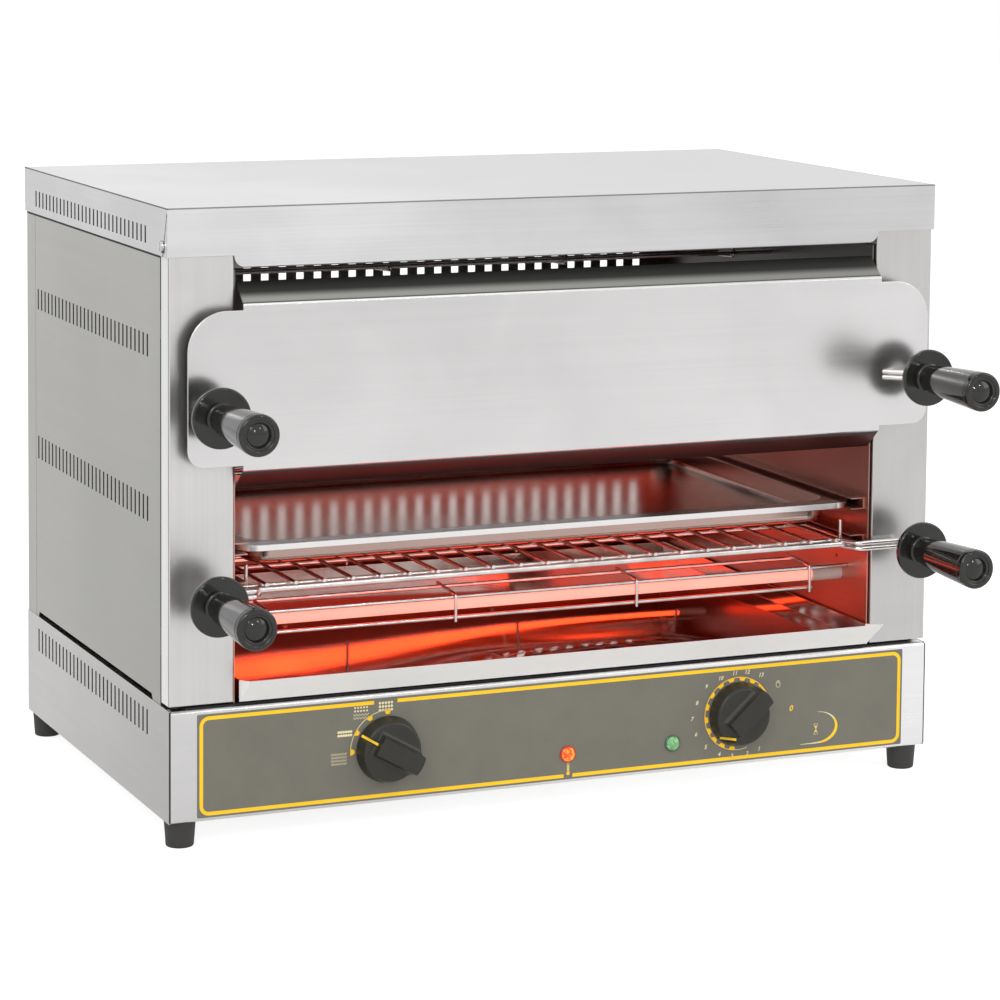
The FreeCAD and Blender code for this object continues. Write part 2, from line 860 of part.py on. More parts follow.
def front_shield():
    """Folded plate in front of the uprights, with round-cornered ears."""
    front = front_face - shield_stand_off - shield_thickness
    back = front + shield_thickness
    half = half_width - shield_side_inset
    low = base_top + upper_level - shield_below_rack
    high = low + shield_height
    ear_top = high - shield_ear_drop
    ear_foot = low + shield_ear_drop
    plate = box(-half, half, front, back, ear_foot, ear_top)
    for radius, want_top in ((shield_top_radius, True), (shield_foot_radius, False)):
        corners = []
        for edge in plate.Edges:
            ends = edge.Vertexes
            if len(ends) < 2:
                continue
            along_y = abs(ends[0].Point.y - ends[1].Point.y) > shield_thickness / 2.0
            level = edge.CenterOfMass.z
            at_top = level > ear_top - shield_thickness
            at_foot = level < ear_foot + shield_thickness
            if along_y and (at_top if want_top else at_foot):
                corners.append(edge)
        plate = plate.makeFillet(radius, corners)
    angle = math.radians(shield_fold_angle)
    run_y = shield_fold * math.cos(angle)
    run_z = shield_fold * math.sin(angle)
    thick_y = shield_thickness * math.sin(angle)
    thick_z = shield_thickness * math.cos(angle)
    middle = opening_half - shield_middle_gap
    folds = [box(-middle, middle, front, back, low, high)]
    for edge_z, sign in ((high, 1), (low, -1)):
        outline = [
            Vector(-middle, front, edge_z),
            Vector(-middle, front + run_y, edge_z + sign * run_z),
            Vector(-middle, front + run_y + thick_y, edge_z + sign * (run_z - thick_z)),
            Vector(-middle, back, edge_z),
            Vector(-middle, back, edge_z - sign * shield_thickness),
            Vector(-middle, front, edge_z - sign * shield_thickness),
        ]
        folds.append(prism(outline, Vector(2.0 * middle, 0, 0)))
    shield = joined([plate] + folds)
    holes = stem_holes(upper_handle_back(), upper_level, fit_clearance)
    return less(shield, holes)


def pan():
    """Shallow pan with a rolled rim and round corners."""
    half = liner_face - pan_side_gap
    front = front_face + pan_front_inset
    rear = grille_front - pan_rear_gap
    rim = base_top + pan_level
    low = rim - pan_height
    wall_half = half - pan_flange
    rim_plate = plan_plate(half, front, rear, rim - pan_sheet, rim, pan_corner)
    skirt = plan_plate(half, front, rear, rim - pan_lip, rim, pan_corner)
    skirt_hollow = plan_plate(half - pan_sheet, front + pan_sheet, rear - pan_sheet,
                              rim - pan_lip - overrun, rim - pan_sheet, pan_corner - pan_sheet)
    outer = plan_plate(wall_half, front + pan_flange, rear - pan_flange, low, rim, pan_corner)
    outer = round_bottom(outer, low, pan_floor_radius + pan_sheet)
    inner = plan_plate(wall_half - pan_sheet, front + pan_flange + pan_sheet,
                       rear - pan_flange - pan_sheet, low + pan_sheet, rim + overrun,
                       pan_corner - pan_sheet)
    inner = round_bottom(inner, low + pan_sheet, pan_floor_radius)
    shell = joined([rim_plate, skirt.cut(skirt_hollow), outer])
    return shell.cut(inner)


def plan_plate(half, front, rear, z0, z1, radius):
    """Level slab with four round corners seen from above."""
    slab = box(-half, half, front, rear, z0, z1)
    corners = []
    for edge in slab.Edges:
        ends = edge.Vertexes
        if abs(ends[0].Point.z - ends[1].Point.z) > (z1 - z0) / 2.0:
            corners.append(edge)
    return slab.makeFillet(radius, corners)


def round_bottom(slab, low, radius):
    """Round the lower edge of a slab all the way round."""
    rim_edges = []
    for edge in slab.Edges:
        box_of_edge = edge.BoundBox
        if box_of_edge.ZMax < low + radius / 10.0:
            rim_edges.append(edge)
    return slab.makeFillet(radius, rim_edges)


def crumb_tray():
    """Bottom tray whose front lip leans out between the uprights."""
    half = liner_face - tray_side_gap
    floor = base_top + tray_floor_above_base
    front = front_face - tray_front_gap
    rear = grille_front - tray_rear_gap
    bottom = box(-half, half, front, rear, floor - sheet, floor)
    back = box(-half, half, rear - sheet, rear, floor - sheet, floor + tray_height)
    walls = []
    for sign in (-1, 1):
        x0 = sign * half
        x1 = sign * (half - sheet)
        walls.append(box(min(x0, x1), max(x0, x1), front, rear, floor - sheet,
                         floor + tray_height))
    lip_low = floor - tray_lip_below_floor
    lip_high = lip_low + tray_lip_rise
    slope = math.atan2(tray_lip_rise, tray_lip_reach)
    thick = sheet / math.sin(slope)
    outline = [
        Vector(-half, front, lip_low),
        Vector(-half, front - tray_lip_reach, lip_high),
        Vector(-half, front - tray_lip_reach + thick, lip_high),
        Vector(-half, front + thick, lip_low),
    ]
    lip = prism(outline, Vector(2.0 * half, 0, 0))
    gussets = []
    for sign in (-1, 1):
        x0 = -half if sign < 0 else half - sheet
        wall_top = floor + tray_height
        outline = [
            Vector(x0, front, lip_low),
            Vector(x0, front - tray_lip_reach, lip_high),
            Vector(x0, front + sheet, wall_top),
        ]
        gussets.append(prism(outline, Vector(sheet, 0, 0)))
    return joined([bottom, back, lip] + walls + gussets)


def tray_guides():
    """Two folded strips on the cavity floor that carry the crumb tray."""
    top = base_top + tray_floor_above_base - sheet - tray_play
    front = cavity_front + pillar_inner_return
    rear = grille_front - tray_rear_gap
    outer = liner_face - tray_side_gap - tray_guide_inset
    inner = outer - tray_guide_width
    shelf = box(inner, outer, front, rear, top - sheet, top)
    leg = box(outer - sheet, outer, front, rear, cavity_floor, top)
    foot = box(outer - tray_guide_width / 2.0, outer, front, rear, cavity_floor,
               cavity_floor + sheet)
    right = joined([shelf, leg, foot])
    return Part.makeCompound([mirrored(right), right])


def quartz_tube(y, level):
    """Open-ended quartz tube along X."""
    half = liner_face - tube_cap_inside + tube_cap_grip
    z = base_top + level
    start = Vector(-half, y, z)
    end = Vector(half, y, z)
    return rod(start, end, tube_diameter).cut(rod(start, end, tube_diameter - 2.0 * tube_wall))


def tube_filament(y, level):
    """Heating winding inside one tube, as a plain round bar."""
    half = liner_face - tube_cap_inside + tube_cap_grip
    z = base_top + level
    return rod(Vector(-half, y, z), Vector(half, y, z), filament)


def tube_caps(y, level):
    """Ceramic end pieces of one tube, with collar and terminal stud."""
    z = base_top + level
    caps = []
    for sign in (-1, 1):
        inner = liner_face - tube_cap_inside
        axis = Vector(sign, 0, 0)
        body = Part.makeCylinder(tube_cap / 2.0, tube_cap_length, Vector(sign * inner, y, z), axis)
        collar = Part.makeCylinder(tube_cap_collar / 2.0, tube_cap_collar_length,
                                   Vector(sign * (liner_face + sheet), y, z), axis)
        stud = Part.makeCylinder(terminal_stud / 2.0, terminal_stud_length + sheet,
                                 Vector(sign * (inner + tube_cap_length - sheet), y, z), axis)
        socket = Part.makeCylinder(tube_diameter / 2.0 + fit_clearance,
                                   tube_cap_grip + overrun,
                                   Vector(sign * (inner - overrun), y, z), axis)
        caps.append(joined([body, collar, stud]).cut(socket))
    return caps


def tube_guard(y, level, side):
    """Three long wires and four bent ties that keep food off one tube."""
    z = base_top + level
    end = liner_face + sheet + guard_wire
    reach = guard_tie_pitch * (guard_tie_count - 1) / 2.0 + guard_end_past_tie
    far = Vector(0, y + guard_rear_offset, z + side * guard_far_rise)
    near = Vector(0, y - guard_front_offset, z + side * guard_near_rise)
    low = Vector(0, y - guard_front_offset, z - side * guard_low_rise)
    head = liner_face + sheet
    pieces = [
        rod(near.add(Vector(head, 0, 0)), near.add(Vector(head + guard_head_length, 0, 0)),
            guard_head),
        rod(near.add(Vector(-head, 0, 0)), near.add(Vector(-head - guard_head_length, 0, 0)),
            guard_head),
        rod(near.add(Vector(-end, 0, 0)), near.add(Vector(end, 0, 0)), guard_wire),
        rod(far.add(Vector(-reach, 0, 0)), far.add(Vector(reach, 0, 0)), guard_wire),
        rod(low.add(Vector(-reach, 0, 0)), low.add(Vector(reach, 0, 0)), guard_wire),
    ]
    lift = Vector(0, 0, side * (guard_wire - guard_weld))
    push = Vector(0, -(guard_wire - guard_weld), 0)
    for index in range(guard_tie_count):
        shift = Vector(guard_tie_pitch * (index - (guard_tie_count - 1) / 2.0), 0, 0)
        points = [
            far.add(shift).add(lift).add(Vector(0, guard_wire, 0)),
            near.add(shift).add(lift).add(push),
            low.add(shift).add(push).add(Vector(0, 0, -side * guard_wire)),
        ]
        pieces.append(bent_rod(points, guard_tie_wire, guard_wire))
    return joined(pieces)


def stud_end():
    """X of the outer ends of the tube studs."""
    return liner_face - tube_cap_inside + tube_cap_length + terminal_stud_length


def busbars():
    """Flat bars that join the two tubes of each level, on both sides."""
    places = tube_places()
    bars = []
    for front, rear in zip(places[0::2], places[1::2]):
        z = base_top + front[2]
        y0 = front[1] - busbar_width / 2.0
        y1 = rear[1] + busbar_width / 2.0
        bar = box(stud_end(), stud_end() + busbar, y0, y1,
                  z - busbar_width / 2.0, z + busbar_width / 2.0)
        bars += [mirrored(bar), bar]
    return Part.makeCompound(bars)


def base_front_panel():
    """Front of the control box, folded back at the top and the bottom."""
    half = half_width + seam / 2.0
    front = front_face - base_proud
    back = front + base_front_fold
    profile = rounded_strip(front, back, base_bottom, base_top)
    panel = profile.extrude(Vector(2.0 * half, 0, 0))
    panel.translate(Vector(-half, 0, 0))
    holes = []
    for x, z, radius in control_holes():
        holes.append(Part.makeCylinder(radius, base_front_fold, Vector(x, front - overrun, z),
                                       Vector(0, 1, 0)))
    notches = []
    for sign in (-1, 1):
        x0 = sign * (half - sheet - base_corner_gap)
        x1 = sign * (half + overrun)
        notches.append(box(min(x0, x1), max(x0, x1), front + sheet, back + overrun,
                           base_bottom - overrun, base_top + overrun))
    return less(panel, holes + notches)


def rounded_strip(front, back, low, high):
    """Section of the front panel in the YZ plane: a channel with round outer bends."""
    corner = 1.0 - math.sin(math.radians(45.0))
    outer = base_fold_radius
    inner = base_fold_radius - sheet
    top_centre = Vector(0, front + outer, high - outer)
    low_centre = Vector(0, front + outer, low + outer)
    lines = [
        Part.LineSegment(Vector(0, back, high), Vector(0, front + outer, high)),
        Part.Arc(Vector(0, front + outer, high),
                 Vector(0, front + outer * corner, high - outer * corner),
                 Vector(0, front, high - outer)),
        Part.LineSegment(Vector(0, front, high - outer), Vector(0, front, low + outer)),
        Part.Arc(Vector(0, front, low + outer),
                 Vector(0, front + outer * corner, low + outer * corner),
                 Vector(0, front + outer, low)),
        Part.LineSegment(Vector(0, front + outer, low), Vector(0, back, low)),
        Part.LineSegment(Vector(0, back, low), Vector(0, back, low + sheet)),
        Part.LineSegment(Vector(0, back, low + sheet), low_centre.add(Vector(0, 0, -inner))),
        Part.Arc(low_centre.add(Vector(0, 0, -inner)),
                 low_centre.add(Vector(0, -inner * (1.0 - corner), -inner * (1.0 - corner))),
                 low_centre.add(Vector(0, -inner, 0))),
        Part.LineSegment(low_centre.add(Vector(0, -inner, 0)),
                         top_centre.add(Vector(0, -inner, 0))),
        Part.Arc(top_centre.add(Vector(0, -inner, 0)),
                 top_centre.add(Vector(0, -inner * (1.0 - corner), inner * (1.0 - corner))),
                 top_centre.add(Vector(0, 0, inner))),
        Part.LineSegment(top_centre.add(Vector(0, 0, inner)), Vector(0, back, high - sheet)),
        Part.LineSegment(Vector(0, back, high - sheet), Vector(0, back, high)),
    ]
    return Part.Face(Part.Wire([line.toShape() for line in lines]))


def control_holes():
    """Centre and radius of each hole in the front panel and the label."""
    knob_z = base_bottom + knob_above_bottom
    lamp_z = base_bottom + lamp_above_bottom
    return (
        (-selector_left, knob_z, shaft_hole / 2.0),
        (timer_right, knob_z, shaft_hole / 2.0),
        (heating_lamp_right, lamp_z, lamp_barrel / 2.0 + lamp_play),
        (power_lamp_right, lamp_z, lamp_barrel / 2.0 + lamp_play),
    )


def base_shell():
    """Sides and rear of the control box, with folds, vents and the gland hole."""
    half = half_width + seam / 2.0
    front = front_face - base_proud + sheet + base_corner_gap
    rear = rear_face + seam / 2.0
    outer = box(-half, half, front, rear, base_bottom, base_top)
    hollow = box(-half + sheet, half - sheet, front - overrun, rear - sheet,
                 base_bottom + sheet, base_top - sheet)
    opening = box(-half + base_fold, half - base_fold, front - overrun, rear - base_fold,
                  base_bottom - overrun, base_top + overrun)
    front_clear = front_face - base_proud + base_front_fold + base_corner_gap
    front_room = box(-half + sheet, half - sheet, front - overrun, front_clear,
                     base_bottom - overrun, base_top + overrun)
    z0 = base_bottom + base_vent_above_bottom
    vents = slot_row(z0, z0 + base_vent_height, -half - overrun, half + overrun)
    gland_hole = Part.makeCylinder(gland_thread / 2.0 + lamp_play, 2.0 * overrun + sheet,
                                   gland_centre(rear - sheet - overrun), Vector(0, 1, 0))
    shell = outer.cut(hollow).cut(opening).cut(front_room)
    return less(shell, vents + [gland_hole] + foot_holes(foot_bore / 2.0))


def foot_places():
    """Centres of the four feet."""
    x = half_width - foot_inset
    places = []
    for sign_x in (-1, 1):
        for y in (front_face + foot_inset, rear_face - foot_inset):
            places.append(Vector(sign_x * x, y, 0))
    return places


def foot_holes(radius):
    """Upright holes over the feet."""
    holes = []
    for place in foot_places():
        start = place.add(Vector(0, 0, base_bottom - overrun))
        holes.append(Part.makeCylinder(radius, 2.0 * overrun + 2.0 * sheet, start))
    return holes


def base_floor():
    """Bottom cover of the control box, laid on the lower folds."""
    half = half_width - sheet
    front = front_face - base_proud + base_fold_radius
    rear = rear_face - sheet
    low = base_bottom + sheet
    plate = box(-half, half, front, rear, low, low + sheet)
    return less(plate, foot_holes(foot_bore / 2.0))


def feet():
    """Four tapered rubber feet with a recess for the screw head."""
    group = []
    for place in foot_places():
        cone = Part.makeCone(foot_tip / 2.0, foot_top / 2.0, foot_height, place)
        rim = [edge for edge in cone.Edges if edge.BoundBox.ZMax < foot_edge / 2.0]
        cone = cone.makeFillet(foot_edge, rim)
        bore = Part.makeCylinder(foot_bore / 2.0, foot_height + 2.0 * overrun,
                                 place.sub(Vector(0, 0, overrun)))
        recess = Part.makeCylinder(foot_recess / 2.0, foot_recess_depth + overrun,
                                   place.sub(Vector(0, 0, overrun)))
        group.append(less(cone, [bore, recess]))
    return Part.makeCompound(group)


def foot_screws():
    """Screws and nuts that hold the feet to the control box."""
    group = []
    top = base_bottom + 2.0 * sheet
    for place in foot_places():
        head_top = place.add(Vector(0, 0, foot_recess_depth))
        head = Part.makeCylinder(foot_screw_head / 2.0, foot_screw_head_height, head_top,
                                 Vector(0, 0, -1))
        length = top + foot_nut_height + sheet - foot_recess_depth
        shank = Part.makeCylinder(foot_screw / 2.0, length, head_top)
        nut = Part.makeCylinder(foot_nut / 2.0, foot_nut_height,
                                place.add(Vector(0, 0, top)))
        group.append(joined([head, shank, nut]))
    return Part.makeCompound(group)


def control_label():
    """Thin printed plate on the front of the control box."""
    back = front_face - base_proud
    front = back - label_thickness
    low = base_bottom + label_above_bottom
    half = half_width - label_side_inset
    plate = rounded_plate(-half, half, low, low + label_height, front, back, label_corner)
    holes = []
    for x, z, radius in control_holes():
        holes.append(Part.makeCylinder(radius, label_thickness + 2.0 * overrun,
                                       Vector(x, front - overrun, z), Vector(0, 1, 0)))
    return less(plate, holes)


def knob_back():
    """Y of the back of both knobs."""
    return front_face - base_proud - label_thickness - knob_panel_gap


def knob(x, angle):
    """Round knob with a raised grip bar and a sloping pointer groove."""
    z = base_bottom + knob_above_bottom
    radius = knob_diameter / 2.0
    disc = Part.makeCone(radius, knob_top / 2.0, knob_body, Vector(0, 0, 0), Vector(0, -1, 0))
    rim = [edge for edge in disc.Edges if edge.BoundBox.YMax < -knob_body + knob_edge]
    disc = disc.makeFillet(knob_edge, rim)
    bar = box(-knob_bar_reach, knob_bar_start, -knob_height, -knob_edge,
              -knob_bar / 2.0, knob_bar / 2.0)
    bounds = Part.makeCylinder(knob_bar_reach, knob_height, Vector(0, 0, 0), Vector(0, -1, 0))
    bar = bar.common(bounds)
    tops = [edge for edge in bar.Edges if edge.BoundBox.YMax < -knob_height + knob_edge]
    bar = bar.makeFillet(knob_edge, tops)
    floor = -knob_edge
    outline = [
        Vector(knob_bar_start, -knob_body - overrun, -knob_groove / 2.0),
        Vector(knob_bar_start, -knob_body, -knob_groove / 2.0),
        Vector(radius, floor, -knob_groove / 2.0),
        Vector(radius + overrun, floor, -knob_groove / 2.0),
        Vector(radius + overrun, -knob_body - overrun, -knob_groove / 2.0),
    ]
    groove = prism(outline, Vector(0, 0, knob_groove))
    socket = Part.makeCylinder(shaft_diameter / 2.0 + fit_clearance, knob_socket_depth + overrun,
                               Vector(0, overrun, 0), Vector(0, -1, 0))
    whole = less(joined([disc, bar]), [groove, socket])
    whole.rotate(Vector(0, 0, 0), Vector(0, 1, 0), -angle)
    whole.translate(Vector(x, knob_back(), z))
    return whole


def knob_shaft(x):
    """Steel spindle from inside the switch or timer into the knob."""
    z = base_bottom + knob_above_bottom
    start = Vector(x, panel_back() + shaft_tail, z)
    end = Vector(x, knob_back() - knob_socket_depth, z)
    return rod(start, end, shaft_diameter)


def panel_back():
    """Y of the back of the front panel, where the controls are fixed."""
    return front_face - base_proud + sheet


def control_body(x, size, depth):
    """Square switch or timer case behind the panel, with a bore for its spindle."""
    z = base_bottom + knob_above_bottom
    front = panel_back()
    half = size / 2.0
    case = rounded_plate(x - half, x + half, z - half, z + half, front, front + depth,
                         switch_edge)
    bore = Part.makeCylinder(shaft_diameter / 2.0 + shaft_clearance, shaft_tail + 2.0 * overrun,
                             Vector(x, front + shaft_tail + seam, z), Vector(0, -1, 0))
    return case.cut(bore)


def lamp(x):
    """Signal lamp: barrel through the panel, bezel and domed lens."""
    z = base_bottom + lamp_above_bottom
    face = front_face - base_proud - label_thickness
    bezel = Part.makeCylinder(lamp_bezel / 2.0, lamp_bezel_height, Vector(x, face, z),
                              Vector(0, -1, 0))
    rim = [edge for edge in bezel.Edges if edge.BoundBox.YMax < face - lamp_bezel_height / 2.0]
    bezel = bezel.makeFillet(lamp_bezel_height / 2.0, rim)
    barrel = Part.makeCylinder(lamp_barrel / 2.0, lamp_depth, Vector(x, face, z),
                               Vector(0, 1, 0))
    chord = lamp_lens / 2.0
    sphere_radius = (chord * chord + lamp_dome * lamp_dome) / (2.0 * lamp_dome)
    centre = Vector(x, face - lamp_dome + sphere_radius, z)
    ball = Part.makeSphere(sphere_radius, centre)
    cap = ball.common(Part.makeCylinder(chord, lamp_dome + overrun, Vector(x, face, z),
                                        Vector(0, -1, 0)))
    return joined([bezel, barrel, cap])


def terminal_block():
    """Supply terminal strip on the floor of the control box."""
    x0 = half_width - terminal_from_right - terminal_length
    y0 = rear_face - terminal_from_rear - terminal_width
    low = base_bottom + 2.0 * sheet
    block = box(x0, x0 + terminal_length, y0, y0 + terminal_width, low, low + terminal_height)
    pitch = terminal_length / terminal_poles
    slots = []
    for index in range(1, terminal_poles):
        x = x0 + pitch * index
        slots.append(box(x - terminal_slot / 2.0, x + terminal_slot / 2.0, y0 - overrun,
                         y0 + terminal_width + overrun,
                         low + terminal_height - terminal_slot_depth,
                         low + terminal_height + overrun))
    holes = []
    for index in range(terminal_poles):
        x = x0 + pitch * (index + 1.0 / 2.0)
        holes.append(Part.makeCylinder(pitch / 4.0, terminal_slot_depth + overrun,
                                       Vector(x, y0 + terminal_width / 2.0,
                                              low + terminal_height - terminal_slot_depth)))
    return less(block, slots + holes)


def gland_centre(y):
    """Point on the gland's axis."""
    return Vector(half_width - gland_from_right, y, base_bottom + gland_above_bottom)


def cable_gland():
    """Screwed gland in the rear of the control box, with its bore open."""
    wall = rear_face + seam / 2.0
    end = rear_face + gland_reach
    radius = gland_across / math.sqrt(3.0)
    corners = []
    for index in range(6):
        angle = math.radians(60.0 * index)
        spot = gland_centre(wall)
        corners.append(spot.add(Vector(radius * math.cos(angle), 0, radius * math.sin(angle))))
    hexagon = prism(corners, Vector(0, gland_hex, 0))
    neck = Part.makeCone(gland_across / 2.0, gland_neck / 2.0, end - wall - gland_hex,
                         gland_centre(wall + gland_hex), Vector(0, 1, 0))
    thread = Part.makeCylinder(gland_thread / 2.0, sheet + gland_inside,
                               gland_centre(wall), Vector(0, -1, 0))
    nut = Part.makeCylinder(gland_nut / 2.0, gland_nut_length,
                            gland_centre(wall - sheet), Vector(0, -1, 0))
    bore = Part.makeCylinder(gland_bore / 2.0, body_depth,
                             gland_centre(end + overrun), Vector(0, -1, 0))
    return joined([hexagon, neck, thread, nut]).cut(bore)


def loom_line():
    """X of the upright looms, against the outer faces of the busbars."""
    return stud_end() + busbar + harness_play + harness_wire / 2.0


def loom_depth(sign):
    """Y of an upright loom: the two sides are set apart so that they never meet."""
    return body_middle + (harness_right_offset if sign > 0 else harness_left_offset)


def wiring_harness():
    """Sleeved wires from the terminals to the controls and up both side spaces."""
    floor = base_bottom + 2.0 * sheet
    low = floor + harness_play + harness_wire / 2.0
    block_left = half_width - terminal_from_right - terminal_length
    block_front = rear_face - terminal_from_rear - terminal_width
    pitch = terminal_length / terminal_poles
    top = base_top + upper_tube_level + busbar_width
    runs = []
    for sign, pole in ((-1, 1), (1, 3)):
        x = block_left + pitch * pole + pitch / 2.0
        y = loom_depth(sign)
        points = [
            Vector(x, block_front, low),
            Vector(x, y, low),
            Vector(sign * loom_line(), y, low),
            Vector(sign * loom_line(), y, top),
        ]
        runs.append(bent_rod(points, harness_wire, harness_bend))
    timer_back = panel_back() + timer_depth
    x = block_left + pitch / 2.0
    z = base_bottom + knob_above_bottom - timer_size / 2.0 + harness_lead
    runs.append(rod(Vector(x, block_front, z), Vector(x, timer_back, z), harness_lead))
    lamp_back = front_face - base_proud - label_thickness + lamp_depth
    y = lamp_back + harness_play + harness_lead / 2.0
    z = base_bottom + lamp_above_bottom
    start = Vector(timer_right - timer_size / 2.0, y, z)
    end = Vector(switch_size / 2.0 - selector_left, y, z)
    runs.append(rod(start, end, harness_lead))
    return Part.makeCompound(runs)


def write(name, shape):
    """Save one named piece."""
    shape.exportStep("parts/" + name + ".step")
    print(name, len(shape.Solids), round(shape.Volume, 1), shape.isValid())


def build():
    """Make every piece and save it."""
    write("top_cover", top_cover())
    side = side_panel()
    write("side_panel_right", side)
    write("side_panel_left", mirrored(side))
    post = pillar()
    write("front_pillar_right", post)
    write("front_pillar_left", mirrored(post))
    write("rear_panel", rear_panel())
    write("rear_grille", rear_grille())
    screws = [panel_screw(place, outward) for place, outward in screw_places()]
    write("panel_screws", Part.makeCompound(screws))
    lining = liner()
    write("liner_right", lining)
    write("liner_left", mirrored(lining))
    write("top_reflector", top_reflector())
    write("chamber_floor", chamber_floor())

    rack_gap = frame_wire + runner_lip_gap
    wire_drop = frame_wire / 2.0 + runner_play
    write("upper_runners", runner_pair(base_top + upper_level - wire_drop, rack_gap))
    write("lower_runners", runner_pair(base_top + lower_level - wire_drop, rack_gap))
    pan_shelf = base_top + pan_level - pan_lip - runner_play
    write("pan_runners", runner_pair(pan_shelf, pan_lip + runner_lip_gap))

    caps = []
    filaments = []
    guards = {"lower": [], "middle": [], "upper": []}
    for name, y, level, side_of_guard in tube_places():
        write(name, quartz_tube(y, level))
        filaments.append(tube_filament(y, level))
        caps += tube_caps(y, level)
        guards[name.split("_")[0]].append(tube_guard(y, level, side_of_guard))
    write("tube_filaments", Part.makeCompound(filaments))
    write("tube_caps", Part.makeCompound(caps))
    for bank, group in guards.items():
        write(bank + "_tube_guards", Part.makeCompound(group))
    write("tube_busbars", busbars())

    write("upper_rack", rack(upper_level, upper_stems))
    write("upper_rack_stops", rack_stops(upper_level))
    write("front_shield", front_shield())
    write("upper_handle_ferrules", ferrules(upper_handle_back(), upper_level))
    write("lower_rack", rack(lower_level, lower_stems))
    write("lower_rack_stops", rack_stops(lower_level))
    write("lower_handle_ferrules", ferrules(lower_handle_back(), lower_level))
    for sign, hand in ((-1, "left"), (1, "right")):
        write("upper_handle_" + hand, handle(sign, upper_handle_back(), upper_level))
        write("lower_handle_" + hand, handle(sign, lower_handle_back(), lower_level))
    write("pan", pan())
    write("crumb_tray", crumb_tray())
    write("tray_guides", tray_guides())

    write("base_front", base_front_panel())
    write("base_shell", base_shell())
    write("base_floor", base_floor())
    write("control_label", control_label())
    write("feet", feet())
    write("foot_screws", foot_screws())

    write("selector_knob", knob(-selector_left, selector_rest_angle))
    write("timer_knob", knob(timer_right, timer_rest_angle))
    write("selector_switch", control_body(-selector_left, switch_size, switch_depth))
    write("timer_case", control_body(timer_right, timer_size, timer_depth))
    write("selector_shaft", knob_shaft(-selector_left))
    write("timer_shaft", knob_shaft(timer_right))
    write("heating_lamp", lamp(heating_lamp_right))
    write("power_lamp", lamp(power_lamp_right))
    write("terminal_block", terminal_block())
    write("cable_gland", cable_gland())
    write("wiring_harness", wiring_harness())


os.makedirs("parts", exist_ok=True)
build()
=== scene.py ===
"""Looks of a countertop cheese melter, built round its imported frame."""

import logging
import math
from dataclasses import dataclass, field
from enum import Enum
from typing import List, Optional, Sequence, Tuple

import bpy
import numpy as np
from mathutils import Matrix, Vector


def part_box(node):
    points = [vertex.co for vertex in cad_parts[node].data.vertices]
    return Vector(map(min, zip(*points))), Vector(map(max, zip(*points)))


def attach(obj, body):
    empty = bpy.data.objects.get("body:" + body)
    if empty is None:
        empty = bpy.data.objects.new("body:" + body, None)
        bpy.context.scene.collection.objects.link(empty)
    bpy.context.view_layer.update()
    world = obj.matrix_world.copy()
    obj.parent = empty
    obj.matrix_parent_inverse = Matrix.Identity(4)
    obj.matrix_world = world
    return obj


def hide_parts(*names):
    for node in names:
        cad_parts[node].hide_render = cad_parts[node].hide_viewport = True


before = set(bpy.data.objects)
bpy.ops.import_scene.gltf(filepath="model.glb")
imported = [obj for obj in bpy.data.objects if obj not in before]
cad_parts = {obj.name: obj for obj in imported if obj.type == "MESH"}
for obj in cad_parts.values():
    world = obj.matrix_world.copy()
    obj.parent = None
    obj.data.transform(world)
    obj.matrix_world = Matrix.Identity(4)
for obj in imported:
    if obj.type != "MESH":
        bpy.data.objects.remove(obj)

LOG = logging.getLogger("cheese_melter")
MM = 0.001
Pair = Tuple[float, float]
Place = Tuple[float, float, float]
Colour = Tuple[float, float, float]
Limits = Tuple[Optional[float], Optional[float]]
Mesh = Tuple[np.ndarray, List[np.ndarray]]
Sockets = bpy.types.bpy_prop_collection
OPEN: Limits = (None, None)


class Axis(Enum):
    """Direction that a grain or a turned piece follows."""

    X = 0
    Y = 1
    Z = 2


# Surfaces


def middle(node: str) -> Place:
    """Centre of a frame node's box."""
    return tuple((low + high) / 2.0 for low, high in zip(*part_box(node)))


def new_piece(name: str, points: np.ndarray, faces: List[np.ndarray], sharp: float = 30.0) -> bpy.types.Object:
    """Puts arrays of points and faces into a new mesh object at the origin.

    Args:
        name: name of the piece.
        points: array of n rows with x, y and z in metres.
        faces: arrays of vertex numbers, each with three or four columns.
        sharp: angle in degrees above which an edge between faces stays sharp.

    Returns:
        The new object, linked to the scene.
    """
    mesh = bpy.data.meshes.new(name)
    corner = np.concatenate([block.ravel() for block in faces]).astype(np.int32)
    counts = np.concatenate([np.full(len(block), block.shape[1]) for block in faces])
    starts = np.concatenate([[0], np.cumsum(counts)[:-1]]).astype(np.int32)
    mesh.vertices.add(len(points))
    mesh.vertices.foreach_set("co", points.astype(np.float32).ravel())
    mesh.loops.add(len(corner))
    mesh.loops.foreach_set("vertex_index", corner)
    mesh.polygons.add(len(counts))
    mesh.polygons.foreach_set("loop_start", starts)
    mesh.polygons.foreach_set("use_smooth", np.ones(len(counts), bool))
    mesh.update(calc_edges=True)
    mesh.validate()
    mesh.set_sharp_from_angle(angle=math.radians(sharp))
    piece = bpy.data.objects.new(name, mesh)
    bpy.context.scene.collection.objects.link(piece)
    return piece


def grid_faces(rows: int, columns: int, wrap: bool = False) -> np.ndarray:
    """Numbers the quads of a grid: each takes a point, its right, upper-right and upper neighbour.

    Args:
        rows: points along the first parameter.
        columns: points along the second parameter.
        wrap: joins the last column to the first.

    Returns:
        Array of quads.
    """
    i, j = np.meshgrid(np.arange(rows - 1), np.arange(columns if wrap else columns - 1), indexing="ij")
    k = (j + 1) % columns
    here, above = i * columns, (i + 1) * columns
    return np.stack([here + j, here + k, above + k, above + j], -1).reshape(-1, 4)


